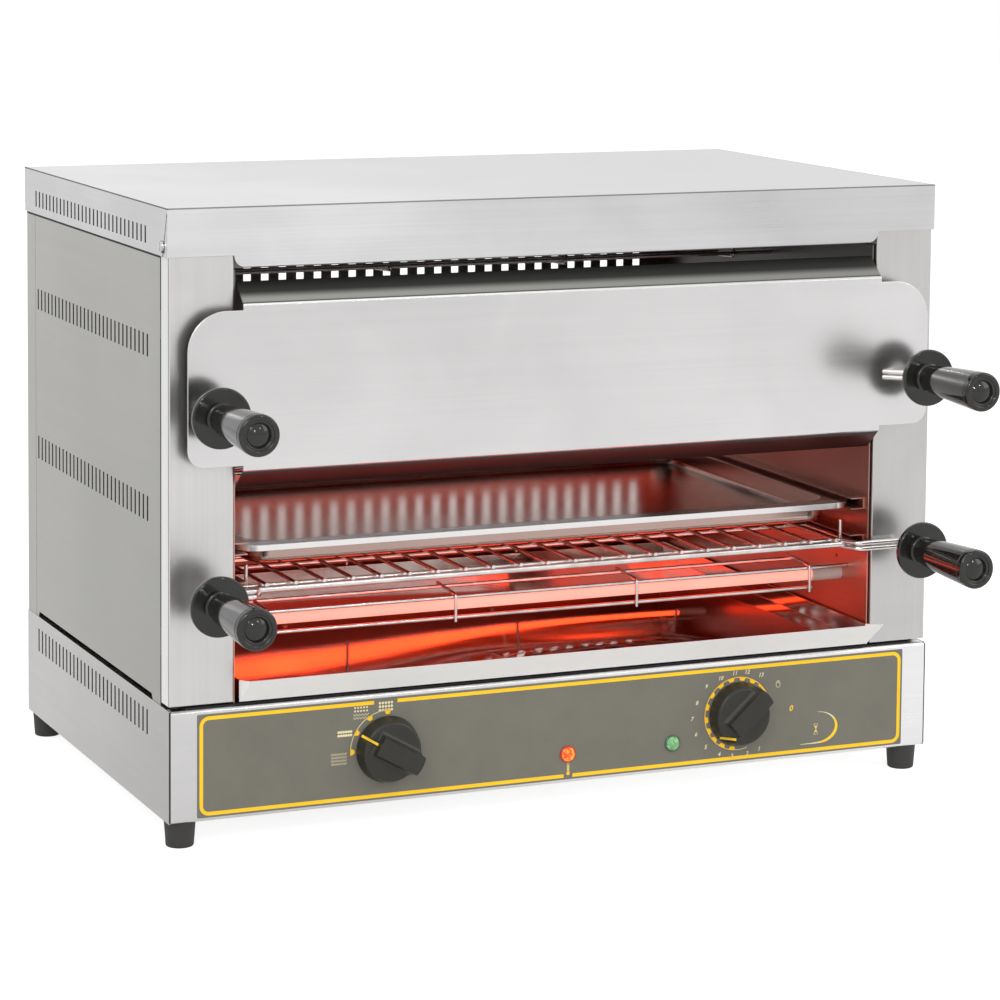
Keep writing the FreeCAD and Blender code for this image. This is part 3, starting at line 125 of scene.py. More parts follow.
def turned(profile: Sequence[Pair], centre: Sequence[float], axis: Axis, sides: int) -> Mesh:
    """Carries a profile round an axis: radius r at height h gives r cos a, r sin a across and h along.

    Args:
        profile: pairs of radius and height, from pole to pole; a radius of zero makes a closed pole.
        centre: point that height zero stands for.
        axis: direction of growing height.
        sides: points round the axis.

    Returns:
        Points and face blocks.
    """
    shape = np.asarray(profile, float)
    closed_first, closed_last = shape[0, 0] == 0.0, shape[-1, 0] == 0.0
    rings = shape[int(closed_first):len(shape) - int(closed_last)]
    angle = np.linspace(0.0, 2.0 * np.pi, sides, endpoint=False)
    first, second = [(1, 2), (2, 0), (0, 1)][axis.value]
    points = np.zeros((len(rings), sides, 3))
    points[..., first] = rings[:, :1] * np.cos(angle)
    points[..., second] = rings[:, :1] * np.sin(angle)
    points[..., axis.value] = rings[:, 1:]
    points = points.reshape(-1, 3)
    faces = [grid_faces(len(rings), sides, wrap=True)]
    here = np.arange(sides)
    after = (here + 1) % sides
    poles = []
    if closed_first:
        faces.append(np.stack([np.full(sides, len(points)), after, here], -1))
        poles.append(shape[0, 1])
    if closed_last:
        top = (len(rings) - 1) * sides
        faces.append(np.stack([np.full(sides, len(points) + len(poles)), top + here, top + after], -1))
        poles.append(shape[-1, 1])
    ends = np.zeros((len(poles), 3))
    ends[:, axis.value] = poles
    return np.concatenate([points, ends]) + np.asarray(centre, float), faces


def gathered(parts: Sequence[Mesh]) -> Mesh:
    """Stacks several sets of points and faces into one, with the faces renumbered.

    Args:
        parts: pairs of points and face blocks.

    Returns:
        One set of points and its face blocks.
    """
    points, faces, base = [], [], 0
    for some_points, some_faces in parts:
        points.append(some_points)
        faces += [block + base for block in some_faces]
        base += len(some_points)
    return np.concatenate(points), faces


def strip(path: np.ndarray, width: np.ndarray, face_y: float, depth: float) -> Mesh:
    """Thin upright ribbon along a line in the XZ plane, half its width to each side, facing -Y.

    Args:
        path: array of x and z, in metres.
        width: width at each point.
        face_y: y of the ribbon's front.
        depth: how far its back lies behind the front.

    Returns:
        Points and face blocks.
    """
    run = np.gradient(path, axis=0)
    run /= np.linalg.norm(run, axis=1, keepdims=True)
    side = np.stack([-run[:, 1], run[:, 0]], -1) * width[:, None] / 2.0
    loops = []
    for offset, y in ((side, face_y), (side, face_y + depth), (-side, face_y + depth), (-side, face_y)):
        flat = path + offset
        loops.append(np.stack([flat[:, 0], np.full(len(flat), y), flat[:, 1]], -1))
    points = np.stack(loops, 1).reshape(-1, 3)
    last = (len(path) - 1) * 4
    ends = np.array([[3, 2, 1, 0], [last, last + 1, last + 2, last + 3]])
    return points, [grid_faces(len(path), 4, wrap=True), ends]


def arc_path(centre: Pair, radius: float, start: float, end: float, count: int = 24) -> np.ndarray:
    """Points on a circle from one angle to another, in degrees from +X towards +Z."""
    angle = np.radians(np.linspace(start, end, count))
    return np.stack([centre[0] + radius * np.cos(angle), centre[1] + radius * np.sin(angle)], -1)


# Shader groups


class Shade:
    """Short ways to place and join nodes in one tree."""

    def __init__(self, tree: bpy.types.NodeTree) -> None:
        """Keeps the tree that nodes go into."""
        self.tree = tree

    def fill(self, node: bpy.types.Node, values: dict) -> bpy.types.NodeTree:
        """Links or sets a node's inputs.

        Args:
            node: the node.
            values: input name or number to an output socket or to a constant.

        Returns:
            The tree.
        """
        for key, value in values.items():
            if isinstance(value, bpy.types.NodeSocket):
                self.tree.links.new(value, node.inputs[key])
            else:
                node.inputs[key].default_value = value
        return self.tree

    def node(self, kind: str, values: Optional[dict] = None, **settings) -> bpy.types.Node:
        """Adds a node.

        Args:
            kind: node type.
            values: input name or number to an output socket or to a constant.
            settings: properties of the node.

        Returns:
            The node.
        """
        made = self.tree.nodes.new(kind)
        for key, value in settings.items():
            setattr(made, key, value)
        self.fill(made, values or {})
        return made

    def group(self, tree: bpy.types.NodeTree, values: Optional[dict] = None) -> Sockets:
        """Places a shared group and gives its outputs."""
        return self.node("ShaderNodeGroup", values, node_tree=tree).outputs

    def place(self) -> bpy.types.NodeSocket:
        """Object coordinates of the point."""
        return self.node("ShaderNodeTexCoord").outputs["Object"]

    def noise(self, place, scale, detail: float, **more) -> bpy.types.NodeSocket:
        """Noise from nought to one."""
        values = {"Vector": place, "Scale": scale, "Detail": detail, **more}
        return self.node("ShaderNodeTexNoise", values).outputs["Fac"]

    def maths(self, operation: str, *terms, clamp: bool = False) -> bpy.types.NodeSocket:
        """One sum of values or sockets, in the order given."""
        made = self.node("ShaderNodeMath", dict(enumerate(terms)), operation=operation, use_clamp=clamp)
        return made.outputs[0]

    def raised(self, base, share, amount: float, clamp: bool = False) -> bpy.types.NodeSocket:
        """A value plus a share of an amount."""
        return self.maths("ADD", base, self.maths("MULTIPLY", share, amount), clamp=clamp)

    def vector(self, operation: str, *terms) -> bpy.types.NodeSocket:
        """One vector sum; a product or a distance is the node's second output."""
        made = self.node("ShaderNodeVectorMath", dict(enumerate(terms)), operation=operation)
        return made.outputs[int(operation in ("DOT_PRODUCT", "DISTANCE"))]

    def scaled(self, value, factor) -> bpy.types.NodeSocket:
        """A vector or colour times a number."""
        return self.node("ShaderNodeVectorMath", {0: value, "Scale": factor}, operation="SCALE").outputs[0]

    def blend(self, share, first, second) -> bpy.types.NodeSocket:
        """Mixes two colours by a share."""
        return self.node("ShaderNodeMix", {0: share, 6: first, 7: second}, data_type="RGBA").outputs[2]

    def varied(self, share, colour: Colour, low: float, high: float) -> bpy.types.NodeSocket:
        """A colour that a share carries from one factor to another."""
        return self.blend(share, shaded(colour, low), shaded(colour, high))

    def mix(self, share, first, second) -> bpy.types.NodeSocket:
        """Mixes two numbers by a share."""
        return self.node("ShaderNodeMix", {0: share, 2: first, 3: second}, data_type="FLOAT").outputs[0]

    def spread(self, value, low: float, high: float, start: float, end: float, **how) -> bpy.types.NodeSocket:
        """Carries a value from one range to another, held at its ends."""
        terms = dict(enumerate((value, low, high, start, end)))
        return self.node("ShaderNodeMapRange", terms, **how).outputs[0]

    def bump(self, strength: float, distance: float, height, **normal) -> bpy.types.NodeSocket:
        """Normal bent by a height."""
        values = {"Strength": strength, "Distance": distance, "Height": height, **normal}
        return self.node("ShaderNodeBump", values).outputs[0]


def open_group(name: str, inputs: dict, outputs: dict) -> Tuple[Shade, Sockets, bpy.types.Node]:
    """Starts a shader node group with named sockets; a tuple makes a vector socket, a number a plain one.

    Args:
        name: name of the group.
        inputs: socket name to its default.
        outputs: socket name to a value of its kind.

    Returns:
        The group's shade helper, its inputs as sockets to read and its output node.
    """
    tree = bpy.data.node_groups.new(name, "ShaderNodeTree")
    for way, sockets in (("INPUT", inputs), ("OUTPUT", outputs)):
        for label, default in sockets.items():
            kind = "NodeSocketVector" if isinstance(default, tuple) else "NodeSocketFloat"
            tree.interface.new_socket(label, in_out=way, socket_type=kind).default_value = default
    shade = Shade(tree)
    return shade, shade.node("NodeGroupInput").outputs, shade.node("NodeGroupOutput")


class Groups:
    """Shader node groups shared by the finishes, each built once."""

    def __init__(self) -> None:
        """Builds all the groups."""
        self.grain = self._grain()
        self.marks = self._marks()
        self.edges = self._edges()
        self.speckle = self._speckle()
        # Painted sheen: a tone that runs from darker to lighter across a sheet.
        self.sweep = self._painted_sheen_group()
        self.box_mask = self._box_mask()
        self.dent = self._dent()

    @staticmethod
    def _grain() -> bpy.types.NodeTree:
        """Drawn lines: noise stretched along one direction, fine over coarse."""
        defaults = {"Stretch": (5.0, 900.0, 900.0), "End Stretch": (900.0, 5.0, 900.0), "Run": (1.0, 0.0, 0.0)}
        shade, given, out = open_group("drawn_grain", defaults, {"Lines": 0.0})
        normal = shade.node("ShaderNodeNewGeometry").outputs["Normal"]
        facing = shade.maths("ABSOLUTE", shade.vector("DOT_PRODUCT", normal, given["Run"]))
        end_on = shade.maths("GREATER_THAN", facing, 0.7)
        stretches = {0: end_on, 4: given["Stretch"], 5: given["End Stretch"]}
        pick = shade.node("ShaderNodeMix", stretches, data_type="VECTOR")
        fine = shade.vector("MULTIPLY", shade.place(), pick.outputs[1])
        coarse = shade.noise(shade.scaled(fine, 0.13), 1.0, 3.0)
        both = shade.raised(shade.maths("MULTIPLY", coarse, 0.4), shade.noise(fine, 1.0, 2.0), 0.6)
        return shade.fill(out, {"Lines": both})

    @staticmethod
    def _marks() -> bpy.types.NodeTree:
        """Handling marks: soft cloudy patches."""
        shade, given, out = open_group("handling_marks", {"Size": 0.12}, {"Clouds": 0.0})
        cloud = shade.noise(shade.place(), shade.maths("DIVIDE", 1.0, given["Size"]), 4.0, Distortion=0.6)
        return shade.fill(out, {"Clouds": shade.spread(cloud, 0.3, 0.7, 0.0, 1.0)})

    @staticmethod
    def _edges() -> bpy.types.NodeTree:
        """Edges for wear on mouldings and for painted highlights on sheets: how far a normal rounded over a small
        radius leaves the true one.
        """
        shade, given, out = open_group("edge_wear_and_highlight", {"Radius": 0.0006}, {"Wear_And_Highlight": 0.0, "Normal": (0.0, 0.0, 0.0)})
        rounded = shade.node("ShaderNodeBevel", {"Radius": given["Radius"]}, samples=4).outputs[0]
        true = shade.node("ShaderNodeNewGeometry").outputs["Normal"]
        bare = shade.spread(shade.vector("DOT_PRODUCT", rounded, true), 0.97, 0.80, 0.0, 1.0)
        patchy = shade.spread(shade.noise(shade.place(), 60.0, 3.0), 0.3, 0.6, 0.4, 1.0)
        return shade.fill(out, {"Wear_And_Highlight": shade.maths("MULTIPLY", bare, patchy), "Normal": rounded})

    @staticmethod
    def _speckle() -> bpy.types.NodeTree:
        """Moulded skin: fine pits over a faint mottling."""
        shade, given, out = open_group("moulded_skin", {"Scale": 1500.0}, {"Pits": 0.0, "Mottle": 0.0})
        place = shade.place()
        mottle = shade.spread(shade.noise(place, 45.0, 4.0), 0.3, 0.7, 0.0, 1.0)
        return shade.fill(out, {"Pits": shade.noise(place, given["Scale"], 2.0), "Mottle": mottle})

    @staticmethod
    def _painted_sheen_group() -> bpy.types.NodeTree:
        """Painted sheen across a sheet: a straight run from one side to the other, bent by slow noise, that
        carries the tone from darker to lighter.
        """
        defaults = {"Direction": (1.0, 0.0, 0.0), "Centre": (0.0, 0.0, 0.0), "Reach": 0.5}
        shade, given, out = open_group("painted_sheen", defaults, {"Sheen": 0.0})
        place = shade.place()
        along = shade.vector("DOT_PRODUCT", shade.vector("SUBTRACT", place, given["Centre"]), given["Direction"])
        slow = shade.maths("SUBTRACT", shade.noise(place, 3.0, 1.0), 0.5)
        bent = shade.raised(shade.maths("DIVIDE", along, given["Reach"]), slow, 0.7)
        sheen = shade.spread(bent, -0.5, 0.5, 0.0, 1.0, interpolation_type="SMOOTHSTEP")
        return shade.fill(out, {"Sheen": sheen})

    @staticmethod
    def _box_mask() -> bpy.types.NodeTree:
        """One inside a box, falling to nothing over a soft width outside it."""
        defaults = {"Low": (0.0, 0.0, 0.0), "High": (1.0, 1.0, 1.0), "Soft": 0.001}
        shade, given, out = open_group("box_mask", defaults, {"Mask": 0.0})
        place = shade.place()
        held = shade.vector("MINIMUM", shade.vector("MAXIMUM", place, given["Low"]), given["High"])
        share = shade.maths("DIVIDE", shade.vector("DISTANCE", place, held), given["Soft"], clamp=True)
        mask = shade.spread(share, 0.0, 1.0, 1.0, 0.0, interpolation_type="SMOOTHSTEP")
        return shade.fill(out, {"Mask": mask})

    @staticmethod
    def _dent() -> bpy.types.NodeTree:
        """Soft hump in a sheet: rise times e to the minus square of the scaled distance from its centre."""
        defaults = {"Centre": (0.0, 0.0, 0.0), "Spread": (0.1, 0.1, 1.0), "Rise": 0.001}
        shade, given, out = open_group("sheet_hump", defaults, {"Height": 0.0})
        off = shade.vector("DIVIDE", shade.vector("SUBTRACT", shade.place(), given["Centre"]), given["Spread"])
        square = shade.vector("DOT_PRODUCT", off, off)
        bell = shade.maths("POWER", math.e, shade.maths("MULTIPLY", square, -1.0))
        return shade.fill(out, {"Height": shade.maths("MULTIPLY", bell, given["Rise"])})


GROUPS = Groups()


# Finishes


def fresh_material(name: str) -> Tuple[bpy.types.Material, Shade, bpy.types.Node]:
    """Makes a node material with one Principled shader.

    Args:
        name: name of the material.

    Returns:
        The material, its shade helper and its shader node.
    """
    material = bpy.data.materials.new(name)
    material.use_nodes = True
    return material, Shade(material.node_tree), material.node_tree.nodes["Principled BSDF"]


def shaded(colour: Colour, factor: float = 1.0) -> Tuple[float, float, float, float]:
    """The same hue, lighter or darker, with full alpha."""
    return (*(min(part * factor, 1.0) for part in colour), 1.0)


@dataclass(frozen=True)
class Patch:
    """Box in the frame where a sheet takes another tone or glows: painted shade in a recess, seam or gap, a
    painted highlight, reflection or glow, a scorched rim or a satin lip.
    """

    low: Place
    high: Place
    soft: float = 0.5 * MM
    # Near-black by default: painted shade.
    colour: Colour = (0.012, 0.012, 0.012)
    roughness: float = 0.7
    metallic: float = 0.0
    depth: float = 1.0

    def mask(self, shade: Shade) -> bpy.types.NodeSocket:
        """One inside the box, nothing away from it."""
        return shade.group(GROUPS.box_mask, {"Low": self.low, "High": self.high, "Soft": self.soft})["Mask"]


def zone(node: str, soft: float, x: Limits = OPEN, y: Limits = OPEN, z: Limits = OPEN, **look) -> Patch:
    """Patch over the box of a frame node, a millimetre larger, with some of its limits moved.

    Args:
        node: frame node.
        soft: width over which the patch fades, in metres.
        x: lower and upper limit, None where the node's own stays.
        y: the same along Y.
        z: the same along Z.
        look: colour, roughness, metallic and depth.

    Returns:
        The patch.
    """
    low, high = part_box(node)
    starts = [low[i] - MM if pair[0] is None else pair[0] for i, pair in enumerate((x, y, z))]
    ends = [high[i] + MM if pair[1] is None else pair[1] for i, pair in enumerate((x, y, z))]
    return Patch(tuple(starts), tuple(ends), soft, **look)


def both_ends(node: str, width: float) -> Tuple[Limits, Limits]:
    """X limits of two zones of one width at a node's left and right."""
    low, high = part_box(node)
    return ((None, low.x + width), (high.x - width, None))


@dataclass(frozen=True)
class Hump:
    """Soft rise in a sheet."""

    centre: Place
    spread: Place
    rise: float


@dataclass(frozen=True)
class SheetFinish:
    """Brushed or polished sheet steel with grain and marks, a painted sheen, painted highlights along its edges
    and bends, and patches.
    """

    name: str
    colour: Colour
    roughness: float = 0.32
    grain_along: Axis = Axis.X
    grain: float = 0.10
    bump: float = 0.12
    # Painted sheen: the tone runs from darker to lighter across the sheet, and towards the far colour where one
    # is given.
    sheen: float = 0.12
    sheen_direction: Place = (1.0, 0.0, 0.3)
    sheen_centre: Place = (0.0, 0.0, 0.29)
    sheen_reach: float = 0.6
    clouds: float = 0.05
    edge: float = 0.0006
    far: Optional[Colour] = None
    humps: Tuple[Hump, ...] = ()
    # Patches: mostly painted shade, highlight and reflection, some the sheet's own tone.
    patches: Tuple[Patch, ...] = ()
    # Painted glows: emission on a sheet that is no lamp, standing in for light that falls on it.
    embers: Tuple[Patch, ...] = ()

    def make(self) -> bpy.types.Material:
        """Builds the material: a painted sheen sets the tone, lines and clouds vary it, edges take a painted
        highlight, patches lie on top.
        """
        material, shade, shader = fresh_material(self.name)
        stretch, end_stretch, run = [900.0] * 3, [900.0] * 3, [0.0] * 3
        stretch[self.grain_along.value] = 5.0
        end_stretch[(self.grain_along.value + 1) % 3] = 5.0
        run[self.grain_along.value] = 1.0
        drawn = {"Stretch": stretch, "End Stretch": end_stretch, "Run": run}
        lines = shade.group(GROUPS.grain, drawn)["Lines"]
        clouds = shade.group(GROUPS.marks)["Clouds"]
        edges = shade.group(GROUPS.edges, {"Radius": self.edge})
        swept = {"Direction": self.sheen_direction, "Centre": self.sheen_centre, "Reach": self.sheen_reach}
        sheen = shade.group(GROUPS.sweep, swept)["Sheen"]
        far = self.far or self.colour
        # Painted sheen: darker at one end of the run, lighter at the other.
        tone = shade.blend(sheen, shaded(self.colour, 1.0 - self.sheen), shaded(far, 1.0 + self.sheen))
        lined = shade.spread(lines, 0.35, 0.65, 1.0 - self.grain, 1.0 + self.grain)
        cloudy = shade.spread(clouds, 0.0, 1.0, 1.0 - self.clouds, 1.0 + self.clouds)
        toned = shade.scaled(tone, shade.maths("MULTIPLY", lined, cloudy))
        # Painted highlight: edges and bends lighten towards half again the sheet's colour, in patches.
        colour = shade.blend(shade.maths("MULTIPLY", edges["Wear_And_Highlight"], 0.8), toned, shaded(self.colour, 1.5))
        rough = shade.raised(shade.raised(self.roughness - 0.05, lines, 0.10), clouds, 0.06, clamp=True)
        metallic = 1.0
        for patch in self.patches:
            share = shade.maths("MULTIPLY", patch.mask(shade), patch.depth)
            colour = shade.blend(share, colour, shaded(patch.colour))
            rough = shade.mix(share, rough, patch.roughness)
            metallic = shade.mix(share, metallic, patch.metallic)
        # Each painted glow lights its patch of the sheet by emission.
        for ember in self.embers:
            glow = shade.blend(ember.mask(shade), (0.0, 0.0, 0.0, 1.0), shaded(ember.colour))
            shade.fill(shader, {"Emission Color": glow, "Emission Strength": ember.depth})
        normal = edges["Normal"]
        for hump in self.humps:
            bell = shade.group(GROUPS.dent, {"Centre": hump.centre, "Spread": hump.spread, "Rise": hump.rise})
            normal = shade.bump(1.0, 1.0, bell["Height"], Normal=normal)
        skin = shade.bump(self.bump, 0.0002, lines, Normal=normal)
        shade.fill(shader, {"Base Color": colour, "Roughness": rough, "Metallic": metallic, "Normal": skin})
        return material


@dataclass(frozen=True)
class WireFinish:
    """Drawn and plated wire or turned steel, with faint dulling."""

    name: str
    colour: Colour
    roughness: float = 0.16

    def make(self) -> bpy.types.Material:
        """Builds the material: clouds dull and darken the plating in patches."""
        material, shade, shader = fresh_material(self.name)
        clouds = shade.group(GROUPS.marks, {"Size": 0.02})["Clouds"]
        pits = shade.group(GROUPS.speckle, {"Scale": 900.0})["Pits"]
        shade.fill(shader, {
            "Base Color": shade.varied(clouds, self.colour, 0.82, 1.1),
            "Metallic": 1.0,
            "Roughness": shade.raised(self.roughness, clouds, 0.12),
            "Normal": shade.bump(0.1, 0.0001, pits),
        })
        return material


@dataclass(frozen=True)
class MouldedFinish:
    """Plastic, rubber or ceramic with a moulded skin and rubbed edges."""

    name: str
    colour: Colour
    roughness: float = 0.4
    mottle: float = 0.15
    bump: float = 0.2
    pit_scale: float = 1500.0
    coat: float = 0.0
    specular: float = 0.5
    rubbed: float = 0.3

    def make(self) -> bpy.types.Material:
        """Builds the material: mottling varies tone and gloss, pits make the skin."""
        material, shade, shader = fresh_material(self.name)
        skin = shade.group(GROUPS.speckle, {"Scale": self.pit_scale})
        edges = shade.group(GROUPS.edges, {"Radius": 0.0005})
        tone = shade.varied(skin["Mottle"], self.colour, 1.0 - self.mottle, 1.0 + self.mottle)
        worn = shade.maths("MULTIPLY", edges["Wear_And_Highlight"], self.rubbed)
        shade.fill(shader, {
            "Base Color": shade.blend(worn, tone, shaded(self.colour, 1.9)),
            "Roughness": shade.spread(skin["Mottle"], 0.0, 1.0, self.roughness - 0.04, self.roughness + 0.06),
            "Coat Weight": self.coat,
            "Coat Roughness": 0.08,
            "Specular IOR Level": self.specular,
            "Normal": shade.bump(self.bump, 0.00012, skin["Pits"], Normal=edges["Normal"]),
        })
        return material


@dataclass(frozen=True)
class GlowFinish:
    """Milky quartz or a lamp lens that shines, brighter and darker along its length."""

    name: str
    body: Colour
    glow: Colour
    strength: float
    seen: Optional[Colour] = None
    roughness: float = 0.25
    patch_scale: float = 12.0
    low: float = 0.85
    ember: Optional[Colour] = None

    def make(self) -> bpy.types.Material:
        """Builds the material: slow noise varies the glow, a second colour is what the eye gets direct."""
        material, shade, shader = fresh_material(self.name)
        share = shade.spread(shade.noise(shade.place(), self.patch_scale, 2.0), 0.42, 0.58, 0.0, 1.0)
        dim = shaded(self.ember) if self.ember else shaded(self.glow, self.low)
        glow = shade.blend(share, dim, shaded(self.glow))
        if self.seen is not None:
            direct = shade.node("ShaderNodeLightPath").outputs["Is Camera Ray"]
            glow = shade.blend(direct, glow, shade.varied(share, self.seen, 0.93, 1.0))
        shade.fill(shader, {
            "Emission Color": glow,
            "Emission Strength": self.strength,
            "Base Color": shade.varied(share, self.body, 0.85, 1.0),
            "Roughness": shade.spread(share, 0.0, 1.0, self.roughness, self.roughness + 0.1),
        })
        return material


@dataclass(frozen=True)
class QuartzFinish:
    """Unlit quartz: clear glass with a slight frosting."""

    name: str

    def make(self) -> bpy.types.Material:
        """Builds the material: glass with patchy frost in its roughness."""
        material, shade, shader = fresh_material(self.name)
        mottle = shade.group(GROUPS.speckle)["Mottle"]
        shade.fill(shader, {
            "Roughness": shade.spread(mottle, 0.0, 1.0, 0.12, 0.3),
            "Base Color": shade.blend(mottle, (0.9, 0.9, 0.9, 1.0), (0.97, 0.97, 0.97, 1.0)),
            "Transmission Weight": 1.0,
            "IOR": 1.45,
        })
        return material


@dataclass(frozen=True)
class PrintFinish:
    """Silk-screened ink or coated label film, with small variations of density."""

    name: str
    colour: Colour
    roughness: float = 0.45
    density: float = 0.08
    fleck: float = 0.0
    # Lift: emission of the ink's own colour, a painted light that brightens the print.
    lift: float = 0.0

    def make(self) -> bpy.types.Material:
        """Builds the material: fine noise thins the ink and roughens it."""
        material, shade, shader = fresh_material(self.name)
        skin = shade.group(GROUPS.speckle, {"Scale": 2500.0})
        clouds = shade.group(GROUPS.marks, {"Size": 0.2})["Clouds"]
        tone = shade.varied(skin["Mottle"], self.colour, 1.0 - self.density, 1.0 + self.density)
        fleck = shade.maths("MULTIPLY", shade.spread(skin["Pits"], 0.45, 0.65, 0.0, 1.0), self.fleck)
        shade.fill(shader, {
            "Base Color": shade.blend(fleck, tone, shaded(self.colour, 1.7)),
            "Emission Color": tone,
            "Emission Strength": self.lift,
            "Roughness": shade.raised(self.roughness, clouds, 0.1),
            "Normal": shade.bump(0.08, 0.0001, skin["Pits"]),
        })
        return material


def dress(material: bpy.types.Material, *names: str) -> None:
    """Gives carried-over frame nodes a finish."""
    for name in names:
        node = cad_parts[name]
        for slot in node.material_slots:
            slot.material = material
        LOG.info("dressed %s with %s", name, material.name)


def settle(piece: bpy.types.Object, material: bpy.types.Material, body: str, slot: str, *nodes: str) -> None:
    """Dresses a new piece, puts it on its body and hides the frame nodes that it replaces.

    Args:
        piece: the new object.
        material: its finish.
        body: body of the frame that it moves with.
        slot: material slot of the record; not used.
        nodes: frame nodes that it replaces.
    """
    piece.data.materials.append(material)
    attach(piece, body)
    if nodes:
        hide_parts(*nodes)
    LOG.info("built %s: %d faces on %s", piece.name, len(piece.data.polygons), body)


# Sub-assemblies


@dataclass
class Casing:
    """Outer sheet steel: lid, sides, uprights, rear and control box."""

    bright: Colour = (0.64, 0.635, 0.64)
    front: Colour = (0.59, 0.58, 0.57)
    side: Colour = (0.43, 0.425, 0.40)
    box: Colour = (0.50, 0.49, 0.48)
    box_front: Colour = (0.73, 0.72, 0.72)
    # Near-black of the painted shade in and behind the vents.
    hollow: Colour = (0.02, 0.02, 0.019)
    skin: float = 1.0 * MM
    # Widths of painted shade: in the side sheets' front seams, under the lid's flange, at the control box front's
    # corners and along the lid's bends.
    seam_gap: float = 1.3 * MM
    shadow_gap: float = 2.0 * MM
    corner_gap: float = 0.9 * MM
    bend_line: float = 0.7 * MM
    tongue_drop: float = 8.5 * MM
    slit_width: float = 1.4 * MM
    slit_lean: float = 11.0 * MM
    screw_head: float = 7.0 * MM

    def shade_behind_skin(self, node: str, foot: float = 0.5 * MM, top: float = 0.0) -> Patch:
        """Painted shade on the walls of the vents and the space behind them: all of a sheet but its outer face
        goes near-black.
        """
        low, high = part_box(node)
        cut, edge = 0.06 * MM, 2.0 * self.skin
        return zone(node, 0.05 * MM, (low.x + cut, high.x - cut), (low.y + edge, high.y - edge),
                    (low.z + foot, high.z - top), colour=self.hollow)

    def flange_low(self) -> float:
        """Lower edge of the lid's flange."""
        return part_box("top_cover")[0].z + self.tongue_drop

    def shadow_under_lid(self, node: str) -> Patch:
        """Painted shadow under the lid's side flange: a dark band on a side sheet from just below the flange's
        edge upward, behind the flange.
        """
        return zone(node, 0.3 * MM, z=(self.flange_low() - self.shadow_gap, None))

    def lid_painted_shade(self) -> List[Patch]:
        """Painted shade on the lid: dark vents, painted shadow round the side screws, and fine painted shade
        lines along the front and side bends.
        """
        low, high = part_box("top_cover")
        reach = 0.55 * self.screw_head
        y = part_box("panel_screws")[0].y + self.screw_head / 2.0
        z = self.flange_low() + self.screw_head
        crest = (high.z - self.bend_line, None)
        marks = [self.shade_behind_skin("top_cover", self.tongue_drop, 1.5 * self.skin)]
        # Painted shadow round each side screw.
        for end in both_ends("top_cover", MM):
            ring = zone("top_cover", 1.2 * MM, end, (y - reach, y + reach), (z - reach, z + reach), depth=0.85)
            marks.append(ring)
        # Painted shade lines along the front and side bends.
        front = (None, low.y + 3.0 * MM)
        marks.append(zone("top_cover", 0.25 * MM, y=front, z=crest, colour=(0.10, 0.10, 0.10), depth=0.75))
        for end in both_ends("top_cover", self.bend_line):
            marks.append(zone("top_cover", 0.25 * MM, end, z=crest, colour=(0.06, 0.06, 0.06), depth=0.85))
        return marks

    @staticmethod
    def pillar_painted_light() -> List[Patch]:
        """Painted highlight on the side return of each upright, with a painted shade line at its front bend."""
        marks = []
        for side, node in enumerate(("front_pillar_left", "front_pillar_right")):
            end, front = both_ends(node, 0.8 * MM)[side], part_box(node)[0].y
            marks.append(zone(node, 0.2 * MM, end, (front + 2.0 * MM, None), colour=(0.93, 0.93, 0.92),
                              roughness=0.45, metallic=0.5))
            marks.append(zone(node, 0.2 * MM, end, (front + 0.6 * MM, front + 1.5 * MM), depth=0.7))
        return marks

    def slits(self) -> bpy.types.Object:
        """Slanted gap where the lid's side flange meets its front: a dark strip on each side, painted shadow in
        the gap.
        """
        low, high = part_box("top_cover")
        path = np.array([[low.y + self.slit_lean, self.flange_low()], [low.y + 1.5 * MM, high.z - 4.0 * MM]])
        points, faces = strip(path, np.array([self.slit_width, 0.5 * self.slit_width]), 0.0, 0.3 * MM)
        sides = []
        for edge, outward in ((low.x, -1.0), (high.x, 1.0)):
            x = edge + outward * (0.05 * MM - points[:, 1])
            placed = np.stack([x, points[:, 0], points[:, 2]], -1)
            sides.append((placed, faces if outward > 0.0 else [block[:, ::-1] for block in faces]))
        return new_piece("lid_slits", *gathered(sides))

    def side_sheet(self, name: str, node: str, *marks: Patch) -> None:
        """Warm grey brushed finish of a side or rear sheet, with a painted sheen and the patches of painted shade
        given.
        """
        dress(SheetFinish(name, self.side, 0.32, Axis.Y, 0.035, bump=0.08, sheen=0.13,
                          sheen_direction=(0.0, 0.6, 0.8), sheen_centre=(0.0, 0.05, 0.25), sheen_reach=0.5,
                          patches=marks).make(), node)

    def build(self) -> None:
        """Gives each sheet its own grain direction and painted sheen, with painted shade and highlights where
        set.
        """
        dress(SheetFinish("cover_brushed", self.bright, 0.28, Axis.X, 0.03, sheen=0.07,
                          sheen_direction=(-1.0, -0.2, -2.0), sheen_centre=(0.0, 0.0, 0.45), sheen_reach=0.5,
                          patches=tuple(self.lid_painted_shade())).make(), "top_cover")
        for node in ("side_panel_left", "side_panel_right"):
